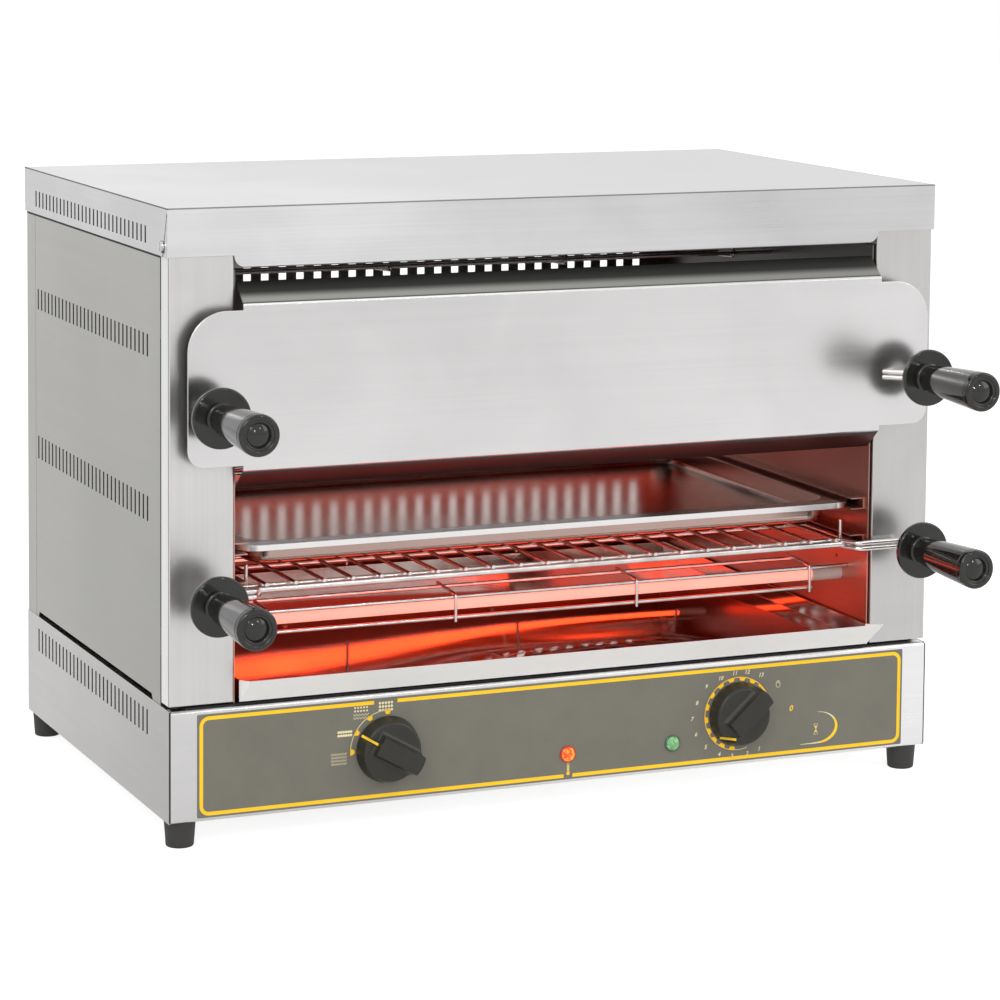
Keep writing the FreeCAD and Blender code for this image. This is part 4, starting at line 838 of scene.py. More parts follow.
            # Painted shade in the seam along each side sheet's front edge.
            seam = zone(node, 0.3 * MM, y=(None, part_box(node)[0].y + self.seam_gap))
            self.side_sheet(node + "_brushed", node, self.shade_behind_skin(node), self.shadow_under_lid(node), seam)
        self.side_sheet("rear_brushed", "rear_panel", self.shadow_under_lid("rear_panel"))
        dress(SheetFinish("front_brushed", self.front, 0.30, Axis.Z, 0.025, sheen=0.06,
                          sheen_direction=(-1.0, 0.0, 0.1), sheen_centre=(0.0, 0.0, 0.3), sheen_reach=0.35,
                          edge=0.001, patches=tuple(self.pillar_painted_light())).make(),
              "front_pillar_left", "front_pillar_right")
        dress(SheetFinish("box_brushed", self.box, 0.28, Axis.Y, 0.04, sheen=0.08,
                          sheen_direction=(0.0, 1.0, 0.5), sheen_centre=(0.0, 0.05, 0.06), sheen_reach=0.5,
                          patches=(self.shade_behind_skin("base_shell", top=1.5 * self.skin),)).make(), "base_shell")
        dress(SheetFinish("floor_brushed", self.front, 0.35, Axis.Y, 0.04).make(), "base_floor")
        # Painted shade in the seams at the two corners of the control box front.
        below_bend = (None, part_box("base_front")[1].z - MM)
        corners = both_ends("base_front", self.corner_gap)
        seams = tuple(zone("base_front", 0.25 * MM, end, z=below_bend) for end in corners)
        dress(SheetFinish("box_front_brushed", self.box_front, 0.22, Axis.X, 0.02, bump=0.06, edge=0.001,
                          patches=seams).make(), "base_front")
        gap = MouldedFinish("slit_shadow", (0.012, 0.012, 0.012), 0.7, specular=0.1).make()
        settle(self.slits(), gap, "oven", "cover_steel")
        dress(WireFinish("screw_plated", (0.72, 0.72, 0.72), 0.18).make(), "panel_screws", "foot_screws")
        dress(MouldedFinish("rubber_black", (0.035, 0.034, 0.030), 0.6, 0.2, 0.4, 900.0).make(), "feet")


@dataclass
class Cavity:
    """Lining, runners and grille: straw and brown heat tint below, reddened as painted red light from the lower
    tubes, grey above.
    """

    # Heat tint, reddened to stand in for the red light of the lower tubes.
    tint_and_red_light: Colour = (0.56, 0.31, 0.26)
    scorched: Colour = (0.26, 0.10, 0.075)
    grey: Colour = (0.17, 0.165, 0.16)
    skin: float = 1.0 * MM
    dot: float = 1.3 * MM
    dot_place: Pair = (-0.085, 0.170)

    def liner(self, node: str) -> None:
        """Lining with painted shade on its duct side and in one small hole near the front, and a painted glow of
        the tube's red light.
        """
        low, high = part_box(node)
        inward, face = (1.0, high.x) if low.x < 0.0 else (-1.0, low.x)
        duct = sorted((face - inward * 1.6 * self.skin, face - inward * 0.1 * self.skin))
        y, z = self.dot_place
        # A dark dot painted where a small hole shows the shade inside it.
        hole = zone(node, 0.2 * MM, y=(y - self.dot, y + self.dot), z=(z - self.dot, z + self.dot))
        # Painted shade on the duct side.
        shade = zone(node, 0.1 * MM, tuple(duct), (low.y + 2.0 * MM, None))
        # Painted glow: faint red emission on the lining round the lower front tube.
        start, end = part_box("lower_tube_front")
        glow = zone(node, 70.0 * MM, y=(start.y, end.y), z=(start.z, end.z), colour=(1.0, 0.07, 0.02),
                    depth=0.10)
        self.line(node + "_tinted", Axis.Y, node, colour=self.tint_and_red_light, patches=(shade, hole), embers=(glow,))

    def line(self, name: str, along: Axis, *nodes: str, **look) -> None:
        """Steel with a heat tint and painted red light below that turns grey towards the ceiling."""
        finish = SheetFinish(name, roughness=0.30, grain_along=along, grain=0.03, bump=0.05, sheen=0.05,
                             sheen_direction=(0.0, 0.0, 1.0), sheen_centre=(0.0, 0.0, 0.31), sheen_reach=0.16,
                             clouds=0.06, edge=0.0004, far=self.grey, **look)
        dress(finish.make(), *nodes)

    def dress(self) -> None:
        """Gives the lining its heat tint with painted red light, painted shade and painted glow."""
        self.liner("liner_left")
        self.liner("liner_right")
        self.line("cavity_tinted", Axis.Y, "top_reflector", "upper_runners", "lower_runners", "pan_runners",
                  "tray_guides", colour=self.tint_and_red_light)
        # Painted shade on the front of the deck.
        lip = zone("chamber_floor", 2.0 * MM, y=(None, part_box("chamber_floor")[0].y + 40.0 * MM))
        self.line("deck_tinted", Axis.X, "chamber_floor", colour=self.tint_and_red_light, patches=(lip,))
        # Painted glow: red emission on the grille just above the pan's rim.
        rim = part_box("pan")[1].z
        band = zone("rear_grille", 45.0 * MM, z=(rim, rim + 12.0 * MM), colour=(1.0, 0.05, 0.012), depth=0.30)
        self.line("grille_tinted", Axis.X, "rear_grille", colour=self.scorched, embers=(band,))


@dataclass
class HeatingBanks:
    """Quartz tubes, their windings, ceramics and wire guards."""

    turn_pitch: float = 4.2 * MM
    turn_radius: float = 2.3 * MM
    wire_radius: float = 0.45 * MM
    points_per_turn: int = 10
    wire_sides: int = 5

    def winding(self, tube: str) -> Mesh:
        """Helix along X: at angle a the line is at pitch a / 2 pi, with a small ring swept round it.

        Args:
            tube: frame node of the quartz tube round the winding.

        Returns:
            Points and face blocks.
        """
        low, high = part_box(tube)
        _, centre_y, centre_z = middle(tube)
        turns = int((high.x - low.x) / self.turn_pitch)
        count = turns * self.points_per_turn + 1
        angle = np.linspace(0.0, 2.0 * np.pi * turns, count)[:, None]
        ring = np.linspace(0.0, 2.0 * np.pi, self.wire_sides, endpoint=False)[None, :]
        out = self.turn_radius + self.wire_radius * np.cos(ring)
        x = low.x + self.turn_pitch * angle / (2.0 * np.pi) + self.wire_radius * np.sin(ring)
        points = np.stack([x, centre_y + out * np.cos(angle), centre_z + out * np.sin(angle)], -1).reshape(-1, 3)
        last = (count - 1) * self.wire_sides
        faces = [
            grid_faces(count, self.wire_sides, wrap=True),
            np.arange(self.wire_sides)[None, ::-1],
            np.arange(last, last + self.wire_sides)[None, :],
        ]
        return points, faces

    def build(self) -> None:
        """Winds the filaments and dresses tubes, caps, bars and guards."""
        tubes = [f"{level}_tube_{place}" for level in ("lower", "middle", "upper") for place in ("front", "rear")]
        piece = new_piece("tube_windings", *gathered([self.winding(tube) for tube in tubes]))
        wire = WireFinish("winding_wire", (0.32, 0.30, 0.28), 0.35).make()
        settle(piece, wire, "oven", "filament_wire", "tube_filaments")
        lit = GlowFinish("quartz_lit", (0.12, 0.10, 0.09), (1.0, 0.055, 0.013), 5.5, seen=(0.20, 0.086, 0.066),
                         roughness=0.4)
        dress(lit.make(), *tubes[:2])
        dress(QuartzFinish("quartz_clear").make(), *tubes[2:])
        ceramic = MouldedFinish("ceramic_white", (0.62, 0.58, 0.53), 0.5, 0.1, 0.3, 1200.0, rubbed=0.1)
        dress(ceramic.make(), "tube_caps")
        dress(WireFinish("busbar_brass", (0.60, 0.43, 0.20), 0.3).make(), "tube_busbars")
        guard = WireFinish("guard_plated", (0.66, 0.63, 0.61), 0.14)
        dress(guard.make(), "lower_tube_guards", "middle_tube_guards", "upper_tube_guards")


@dataclass
class Carriages:
    """Racks with their stops, shield and handles."""

    disc_radius: float = 22.5 * MM
    disc_thickness: float = 5.0 * MM
    neck_radius: float = 9.8 * MM
    neck_length: float = 7.0 * MM
    disc_edge: float = 1.4 * MM
    tip_edge: float = 1.8 * MM
    swelling: float = 3.5 * MM
    groove_back: float = 6.5 * MM
    root_radius: float = 11.5 * MM
    tip_radius: float = 15.25 * MM
    rim_share: float = 0.80
    dome_share: float = 0.58
    sides: int = 64
    shield_fold: float = 0.40

    def handle(self, node: str) -> Mesh:
        """Turned handle: disc, waisted neck, swelling grip with a fine groove, and an end with a domed middle.

        Args:
            node: frame node that gives its place and length.

        Returns:
            Points and face blocks.
        """
        low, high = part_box(node)
        centre_x, _, centre_z = middle(node)
        centre, length = (centre_x, high.y, centre_z), high.y - low.y
        disc, neck, root, tip = self.disc_radius, self.neck_radius, self.root_radius, self.tip_radius
        front = self.disc_thickness
        edge = self.disc_edge
        quarter = np.linspace(0.0, np.pi / 2.0, 7)
        sin, cos = np.sin(quarter), 1.0 - np.cos(quarter)
        profile = [(0.0, 0.0)]
        profile += list(zip(disc - edge + edge * sin, edge * cos))
        profile += list(zip(disc - edge * cos, front - edge + edge * sin))
        profile += list(zip(neck + 2.0 * MM - 2.0 * MM * sin, front + 2.0 * MM * cos))
        start = front + self.neck_length
        swell = np.linspace(0.0, 1.0, 9)
        profile += list(zip(neck + (root - neck) * np.sin(swell * np.pi / 2.0), start + self.swelling * swell))
        groove = length - self.groove_back
        along = np.linspace(0.0, 1.0, 20)[1:]
        run = groove - start - self.swelling
        grip = root + (tip - root) * (1.25 * along - 0.25 * along**2)
        profile += list(zip(grip, start + self.swelling + run * along))
        bottom = tip - 0.35 * MM
        profile += [(bottom, groove + 0.3 * MM), (bottom, groove + 0.7 * MM), (tip, groove + 1.0 * MM)]
        corner = self.tip_edge
        profile += list(zip(tip - corner * cos, length - corner + corner * sin))
        rim, step, dome = self.rim_share * tip, 1.2 * MM, self.dome_share * tip
        profile += list(zip(rim - step * sin, length - step * cos))
        profile += list(zip(dome + step * (1.0 - sin), length - step - 1.7 * MM * cos))
        bulge = np.linspace(1.0, 0.0, 9)[1:]
        profile += list(zip(dome * bulge, length - 2.9 * MM + 2.6 * MM * (1.0 - bulge**2)))
        profile[-1] = (0.0, profile[-1][1])
        shape = [(radius, -height) for radius, height in profile]
        return turned(shape[::-1], centre, Axis.Y, self.sides)

    def build(self) -> None:
        """Makes the handles and dresses wires, shield and ferrules."""
        black = MouldedFinish("handle_gloss_black", (0.014, 0.0135, 0.011), 0.09, 0.2, 0.03, 700.0, coat=0.3,
                              specular=0.38, rubbed=0.1).make()
        for level in ("upper", "lower"):
            body = level + "_rack_carriage"
            for hand in ("left", "right"):
                node = f"{level}_handle_{hand}"
                piece = new_piece(node + "_turned", *self.handle(node), sharp=40.0)
                settle(piece, black, body, "handle_black", node)
        plated = WireFinish("rack_plated", (0.70, 0.67, 0.65), 0.15)
        dress(plated.make(), "upper_rack", "lower_rack", "upper_rack_stops", "lower_rack_stops")
        ferrule = WireFinish("ferrule_plated", (0.68, 0.68, 0.68), 0.15)
        dress(ferrule.make(), "upper_handle_ferrules", "lower_handle_ferrules")
        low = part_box("front_shield")[0]
        face = low.y + 1.5 * MM
        # Painted shade on the back of the shield, so that its reflection in the uprights is dark.
        behind = zone("front_shield", 0.3 * MM, y=(face, None), colour=(0.04, 0.04, 0.04), roughness=0.6)
        upper = (self.shield_fold, None)
        # Painted shade on the shield's top fold, which faces up and back.
        fold = zone("front_shield", 1.5 * MM, y=(face + 1.5 * MM, None), z=upper, colour=(0.29, 0.29, 0.27),
                    roughness=0.35, metallic=1.0)
        scorch = zone("front_shield", 6.0 * MM, y=(face + 9.0 * MM, None), z=upper, colour=(0.05, 0.05, 0.047),
                      roughness=0.5, metallic=1.0)
        # Painted reflection of the cavity's red light on the shield's bottom fold.
        foot = zone("front_shield", 0.5 * MM, y=(face + 0.6 * MM, None), z=(None, low.z + 12.0 * MM),
                    colour=(0.13, 0.04, 0.035), roughness=0.3, metallic=0.8)
        dress(SheetFinish("shield_brushed", (0.68, 0.67, 0.665), 0.20, Axis.X, 0.02, bump=0.06, sheen=0.04,
                          sheen_direction=(1.0, 0.0, -0.4), sheen_centre=(0.0, 0.0, 0.34), sheen_reach=0.7,
                          edge=0.001, patches=(behind, fold, scorch, foot)).make(), "front_shield")


@dataclass
class Trays:
    """Shallow pan and crumb tray."""

    humps: Tuple[Hump, ...] = (
        Hump((0.16, 0.06, 0.108), (0.20, 0.13, 1.0), 9.0 * MM),
        Hump((0.07, -0.075, 0.108), (0.09, 0.035, 1.0), 1.8 * MM),
        Hump((-0.25, -0.02, 0.108), (0.24, 0.10, 1.0), -1.6 * MM),
    )
    rim_depth: float = 14.0 * MM
    lip_depth: float = 27.5 * MM

    def dress(self) -> None:
        """Gives the pan a satin painted with the cavity's shade and red light, a bright rim and a painted glow,
        and the tray a wavy polish with a satin lip lit by a painted glow.
        """
        low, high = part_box("pan")
        rim = zone("pan", 1.0 * MM, y=(None, low.y + self.rim_depth), colour=(0.78, 0.76, 0.75),
                   roughness=0.25, metallic=1.0)
        # Painted glow: red emission along the top of the pan's back wall.
        glow = zone("pan", 3.0 * MM, y=(high.y - 16.0 * MM, None), z=(high.z - 7.0 * MM, None),
                    colour=(1.0, 0.045, 0.012), depth=0.35)
        # The pan's reddish brown is painted shade and red light of the cavity; its front rim keeps a bright steel
        # tone.
        dress(SheetFinish("pan_satin", (0.46, 0.33, 0.29), 0.17, Axis.X, 0.04, bump=0.06, sheen=0.06,
                          clouds=0.08, patches=(rim,), embers=(glow,)).make(), "pan")
        front = (None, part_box("crumb_tray")[0].y + self.lip_depth)
        lip = zone("crumb_tray", 0.3 * MM, y=front, colour=(0.90, 0.90, 0.89), roughness=0.40)
        # Painted light: the lip glows faintly white.
        shine = zone("crumb_tray", 0.3 * MM, y=front, colour=(1.0, 0.98, 0.96), depth=0.24)
        dress(SheetFinish("tray_polished", (0.62, 0.55, 0.52), 0.03, Axis.X, 0.03, bump=0.02, sheen=0.05,
                          clouds=0.06, humps=self.humps, patches=(lip,), embers=(shine,)).make(), "crumb_tray")


class Knob(Enum):
    """The two rotary knobs: frame node, body, resting angle of the pointer in degrees."""

    SELECTOR = ("selector_knob", "selector", 150.0)
    TIMER = ("timer_knob", "timer", 222.0)


@dataclass
class ControlPanel:
    """Printed label with scales and icons, knobs and signal lamps; two lists gather the print."""

    print_depth: float = 0.06 * MM
    knob_base: float = 25.5 * MM
    knob_top: float = 23.4 * MM
    knob_nose: float = 25.4 * MM
    disc_level: float = 11.0 * MM
    bar_level: float = 17.0 * MM
    bar_half: float = 7.4 * MM
    flank: float = 4.6 * MM
    bar_start: float = 14.0 * MM
    bar_slope: float = 2.6 * MM
    groove_half: float = 2.1 * MM
    groove_foot: float = 1.4 * MM
    pointer_half: float = 0.95 * MM
    disc_edge: float = 2.6 * MM
    bar_edge: float = 1.0 * MM
    frame_inset: float = 3.0 * MM
    frame_foot: float = 2.9 * MM
    frame_width: float = 2.8 * MM
    frame_corner: float = 6.0 * MM
    lens_sides: int = 10
    barrel_radius: float = 4.95 * MM
    collar_radius: float = 6.75 * MM
    collar_edge: float = 1.0 * MM
    yellow: List[Mesh] = field(default_factory=list)
    pale: List[Mesh] = field(default_factory=list)

    def label_face(self) -> float:
        """Y of the label's front."""
        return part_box("control_label")[0].y

    def print_y(self) -> float:
        """Y of the front of the print."""
        return self.label_face() - self.print_depth

    def ink(self, path: Sequence, width) -> Mesh:
        """Printed line just proud of the label: a ribbon along x and z, with one width or one for each point."""
        widths = np.broadcast_to(np.asarray(width, float), (len(path),))
        return strip(np.asarray(path), widths, self.print_y(), self.print_depth + 0.02 * MM)

    def dot(self, x: float, z: float, size: float) -> Mesh:
        """Printed dot: a short ribbon whose width follows a circle."""
        along = np.linspace(-0.96, 0.96, 7)
        path = np.stack([x + along * size / 2.0, np.full(7, z)], -1)
        return self.ink(path, size * np.sqrt(1.0 - along**2))

    def wedge(self, centre: Pair, angle: float, radii: Pair, widths: Pair) -> Mesh:
        """Tooth across a ring, with the radii and widths of its two ends in millimetres."""
        ends = [arc_path(centre, radius * MM, angle, angle, 1)[0] for radius in radii]
        return self.ink(ends, np.array(widths) * MM)

    def frame_lines(self) -> None:
        """Rounded frame round the label, left open at the top icon and at the temperature mark."""
        low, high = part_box("control_label")
        r = self.frame_corner
        x0, x1 = low.x + self.frame_inset, high.x - self.frame_inset
        z0, z1 = low.z + self.frame_foot, high.z - self.frame_inset
        right = ([[-140.1 * MM, z1]], arc_path((x1 - r, z1 - r), r, 90.0, 0.0, 9),
                 arc_path((x1 - r, z0 + r), r, 0.0, -90.0, 9), [[6.4 * MM, z0]])
        left = ([[-1.2 * MM, z0]], arc_path((x0 + r, z0 + r), r, -90.0, -180.0, 9),
                arc_path((x0 + r, z1 - r), r, 180.0, 90.0, 9), [[-159.1 * MM, z1]])
        self.yellow += [self.ink(np.concatenate(half), self.frame_width) for half in (right, left)]

    @staticmethod
    def knob_centre(knob: Knob) -> Pair:
        """X and z of a knob's axis."""
        x, _, z = middle(knob.value[1] + "_shaft")
        return (x, z)

    def selector_marks(self) -> None:
        """Wedges at the selector's positions, the arc that joins them, and icons of dots and zigzags."""
        centre = self.knob_centre(Knob.SELECTOR)
        for angle in (180.0, 150.0, 120.0, 90.0):
            self.yellow.append(self.wedge(centre, angle, (26.8, 30.2), (2.6, 5.6)))
        self.pale.append(self.ink(arc_path(centre, 30.0 * MM, 90.0, 180.0, 40), 0.5 * MM))
        icons = (
            (-182.6, 76.2, 6, 2, 2.0, 2.7, 2.1),
            (-149.5, 94.4, 5, 3, 2.4, 2.7, 2.1),
            (-169.6, 93.9, 5, 2, 2.4, 2.6, 1.6),
        )
        for x, z, columns, rows, wide, tall, size in icons:
            for column in range(columns):
                spot_x = x + (column - (columns - 1) / 2.0) * wide
                for row in range(rows):
                    spot_z = z + (row - (rows - 1) / 2.0) * tall
                    self.pale.append(self.dot(spot_x * MM, spot_z * MM, size * MM))
        across = np.linspace(-6.2, 6.2, 11)
        for x, z, rows in ((-187.3, 57.1, 4), (-169.6, 88.4, 2)):
            for row in range(rows):
                level = z + (row - (rows - 1) / 2.0) * 2.5
                zigzag = np.stack([x + across, level + 0.8 * (-1.0) ** np.arange(11)], -1)
                self.pale.append(self.ink(zigzag * MM, 0.5 * MM))

    def timer_marks(self) -> None:
        """Toothed ring round the timer, closed by a thin arc that ends at the hold mark."""
        centre = self.knob_centre(Knob.TIMER)
        self.yellow.append(self.ink(arc_path(centre, 29.2 * MM, 30.0, 262.0, 90), 0.55 * MM))
        self.pale.append(self.ink(arc_path(centre, 29.2 * MM, 262.0, 287.0, 12), 0.5 * MM))
        for angle in (63.0, 82.5, 102.5, 123.0, 144.0, 165.0, 186.0, 205.5, 223.0, 241.0, 260.5):
            self.yellow.append(self.wedge(centre, angle, (26.4, 29.2), (3.4, 6.2)))
        self.yellow.append(self.ink(arc_path(centre, 28.6 * MM, 30.0, 50.0, 12), np.linspace(0.5, 2.0, 12) * MM))

    def hand_mark(self, x: float, z: float) -> None:
        """Hold hand: a palm with four fingers."""
        palm = np.array([[-1.6, 0.6], [-1.7, -1.6], [-0.8, -2.8], [1.0, -2.8], [1.8, -1.5], [1.8, 0.8]])
        self.pale.append(self.ink(palm * MM + (x, z), 0.4 * MM))
        for finger, top in ((-1.5, 2.0), (-0.5, 2.8), (0.5, 2.8), (1.5, 2.2)):
            line = np.array([[finger, 0.3], [finger, top]])
            self.pale.append(self.ink(line * MM + (x, z), 0.4 * MM))

    def hourglass_mark(self, x: float, z: float) -> None:
        """Hourglass inside a bow that is yellow in its middle and pale at its tips."""
        bell = np.array([[-1.9, 4.2], [1.9, 4.2], [0.25, 0.2], [-0.25, 0.2], [-1.9, 4.2]]) * MM
        sand = np.array([[0.0, 0.9], [0.0, 2.6]]) * MM
        for sign in (-1.0, 1.0):
            self.pale.append(self.ink(bell * (1.0, sign) + (x, z), 0.35 * MM))
            self.yellow.append(self.ink(sand * (1.0, sign) + (x, z), [0.4 * MM, 2.3 * MM]))
        bow = arc_path((0.0, 0.0), 1.0, 90.0, -90.0, 22) * (17.0 * MM, 12.5 * MM) + (1.6 * MM, 1.3 * MM)
        tail = np.stack([np.linspace(-2.5, -14.0, 5), np.full(5, -11.4)], -1) * MM
        sweep = np.concatenate([bow, tail]) + (x, z)
        widths = (0.3 + 2.2 * np.sin(np.linspace(0.05, np.pi - 0.15, len(sweep))) ** 2) * MM
        self.yellow.append(self.ink(sweep[7:-6], widths[7:-6]))
        for tip in (slice(0, 8), slice(-7, None)):
            self.pale.append(self.ink(sweep[tip], widths[tip]))

    def temperature_mark(self, x: float, z: float) -> None:
        """Thermometer: two sides and a round top, with a yellow column and bulb inside."""
        for side in (x - 0.75 * MM, x + 0.75 * MM):
            self.pale.append(self.ink([[side, z + 3.0 * MM], [side, z + 10.5 * MM]], 0.4 * MM))
        self.pale.append(self.ink(arc_path((x, z + 10.5 * MM), 0.75 * MM, 0.0, 180.0, 8), 0.4 * MM))
        self.yellow.append(self.ink([[x, z + 1.0 * MM], [x, z + 8.0 * MM]], 0.6 * MM))
        self.yellow.append(self.dot(x, z + 1.4 * MM, 3.0 * MM))

    def pictograms(self) -> None:
        """The three plain line drawings, at their places."""
        x, z = self.knob_centre(Knob.TIMER)
        self.hand_mark(x + 35.6 * MM, z + 21.0 * MM)
        self.hourglass_mark(x + 70.5 * MM, z - 19.0 * MM)
        self.temperature_mark(middle("heating_lamp")[0] + 0.4 * MM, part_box("control_label")[0].z + 3.4 * MM)

    def numeral(self, text: str, x: float, z: float, height: float) -> Mesh:
        """Slanted figure on the label, made a mesh and then set upright by arrays.

        Args:
            text: the figure.
            x: middle of the figure.
            z: middle of the figure.
            height: height of the figure.

        Returns:
            Points and face blocks.
        """
        curve = bpy.data.curves.new("numeral", "FONT")
        curve.body, curve.align_x, curve.align_y = text, "CENTER", "CENTER"
        curve.size, curve.shear, curve.extrude, curve.offset = 1.0, 0.25, 0.02, 0.02
        curve.resolution_u = 2
        holder = bpy.data.objects.new("numeral", curve)
        mesh = bpy.data.meshes.new_from_object(holder)
        flat = np.zeros(len(mesh.vertices) * 3)
        mesh.vertices.foreach_get("co", flat)
        flat = flat.reshape(-1, 3)
        mesh.calc_loop_triangles()
        faces = np.zeros(len(mesh.loop_triangles) * 3, np.int32)
        mesh.loop_triangles.foreach_get("vertices", faces)
        bpy.data.objects.remove(holder)
        bpy.data.curves.remove(curve)
        bpy.data.meshes.remove(mesh)
        scale = height / np.ptp(flat[:, 1])
        centre = (flat.min(0) + flat.max(0)) / 2.0
        y = np.where(flat[:, 2] > 0.0, self.print_y(), self.label_face() + 0.02 * MM)
        points = np.stack([x + (flat[:, 0] - centre[0]) * scale, y, z + (flat[:, 1] - centre[1]) * scale], -1)
        return points, [faces.reshape(-1, 3)]

    def figures(self) -> None:
        """Minutes round the timer, each with its angle in degrees and its radius in millimetres."""
        x, z = self.knob_centre(Knob.TIMER)
        places = (
            ("13", 55, 36), ("12", 76, 34), ("11", 95, 33), ("10", 117, 33.5), ("9", 139, 37), ("8", 162, 38),
            ("7", 181, 40), ("6", 200, 39), ("5", 221, 37), ("4", 243, 35), ("3", 262, 34), ("2", 285, 34),
            ("1", 303, 36),
        )
        for text, angle, radius in places:
            turn, away = math.radians(angle), radius * MM
            self.pale.append(self.numeral(text, x + away * math.cos(turn), z + away * math.sin(turn), 3.4 * MM))
        self.yellow.append(self.numeral("0", x + 48.0 * MM, z, 5.0 * MM))

    def knob_shape(self, groove: Sequence[Pair], rows: int = 150) -> Mesh:
        """Height of a knob over its base, on a grid stretched to its outline, closed by side walls and a back.

        The bar stands above the disc and falls to it in a hollow quarter circle on each side.
        The groove's floor runs down in a straight line from its inner end to its outer end.

        Args:
            groove: outer end and inner end of the pointer groove, along and across the pointer.
            rows: grid points along and across.

        Returns:
            Points and face blocks, with the pointer along +X, the height along -Y and across along +Z.
        """
        nose_half = self.bar_half + 0.2 * MM
        share = np.linspace(-1.0, 1.0, rows)
        across = self.knob_top * np.sin(share * np.pi / 2.0) * 0.9999
        steps = np.array([nose_half, nose_half + 0.05 * MM])
        across = np.sort(np.concatenate([across, steps, -steps]))
        t = across[None, :]
        reach_low = np.sqrt(self.knob_top**2 - t**2)
        nose = np.abs(t) <= nose_half + 0.01 * MM
        reach_high = np.where(nose, np.sqrt(self.knob_nose**2 - t**2), reach_low)
        s = np.linspace(0.0, 1.0, rows)[:, None]
        along = reach_low - (reach_low + reach_high) * s
        t = np.broadcast_to(t, along.shape)
        fall = np.clip((np.abs(t) - self.bar_half) / self.flank, 0.0, 1.0)
        fall = np.maximum(fall, np.clip((along - self.bar_start) / self.bar_slope, 0.0, 1.0))
        rise = 1.0 - np.sqrt(1.0 - (1.0 - fall) ** 2)
        height = self.disc_level + (self.bar_level - self.disc_level) * rise
        radius = np.hypot(along, t)
        edge = self.disc_edge + (self.bar_edge - self.disc_edge) * rise
        limit = np.where(nose & (along < 0.0), self.knob_nose, self.knob_top)
        room = np.clip(limit - radius, 0.0, edge)
        height -= edge - np.sqrt(np.maximum(edge**2 - (edge - room) ** 2, 0.0))
        (ax, az), (bx, bz) = groove
        length = math.hypot(bx - ax, bz - az)
        ux, uz = (bx - ax) / length, (bz - az) / length
        step = (along - ax) * ux + (t - az) * uz
        off = np.abs((along - ax) * uz - (t - az) * ux)
        climb = self.disc_level - 0.2 * MM - self.groove_foot
        floor = self.groove_foot + climb * np.clip(step / length, 0.0, 1.0)
        cut = (off < self.groove_half) & (step < length)
        height = np.where(cut, np.minimum(height, floor), height)
        top = np.stack([along, -height, t], -1).reshape(-1, 3)
        grow = self.knob_base / np.hypot(np.where(along < 0.0, reach_high, reach_low), t)
        back = np.stack([along * grow, np.zeros_like(t), t * grow], -1).reshape(-1, 3)
        columns = len(across)
        faces = grid_faces(rows, columns)
        under = faces[:, ::-1] + len(top)
        line = np.concatenate([
            np.arange(columns), np.arange(1, rows) * columns + columns - 1,
            (rows - 1) * columns + np.arange(columns - 2, -1, -1), np.arange(rows - 2, 0, -1) * columns,
        ])
        after = np.roll(line, -1)
        walls = np.stack([line, line + len(top), after + len(top), after], -1)
        return np.concatenate([top, back]), [faces, under, walls]

    def placed(self, shape: Mesh, knob: Knob) -> Mesh:
        """Turns a knob's shape to its resting angle and sets it on its axis.

        Args:
            shape: points and face blocks with the pointer along +X.
            knob: which knob.

        Returns:
            The same faces with placed points.
        """
        points, faces = shape
        x, z = self.knob_centre(knob)
        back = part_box(knob.value[0])[1].y
        turn = math.radians(knob.value[2])
        moved = points.copy()
        moved[:, 0] = x + points[:, 0] * math.cos(turn) - points[:, 2] * math.sin(turn)
        moved[:, 2] = z + points[:, 0] * math.sin(turn) + points[:, 2] * math.cos(turn)
        moved[:, 1] += back
        return moved, faces

    def pointer(self, groove: Sequence[Pair]) -> Mesh:
        """Yellow bar on the groove's floor: a strip of eight corners that slopes with the floor.

        Args:
            groove: outer and inner end of the groove.

        Returns:
            Points and face blocks.
        """
        outer, inner = np.array(groove[0]), np.array(groove[1])
        run = (inner - outer) / np.linalg.norm(inner - outer)
        side = np.array([-run[1], run[0]]) * self.pointer_half
        start, end = outer + run * 0.4 * MM, inner - run * 0.2 * MM
        levels = (self.groove_foot + 0.5 * MM, self.disc_level + 0.1 * MM)
        loops = []
        for lift in (0.0, -1.2 * MM):
            for spot, level in ((start, levels[0]), (end, levels[1])):
                for sign in (-1.0, 1.0):
                    corner = spot + side * sign
                    loops.append([corner[0], -(level + lift), corner[1]])
        faces = np.array([[0, 2, 3, 1], [4, 5, 7, 6], [0, 1, 5, 4], [2, 6, 7, 3], [0, 4, 6, 2], [1, 3, 7, 5]])
        return np.array(loops), [faces]

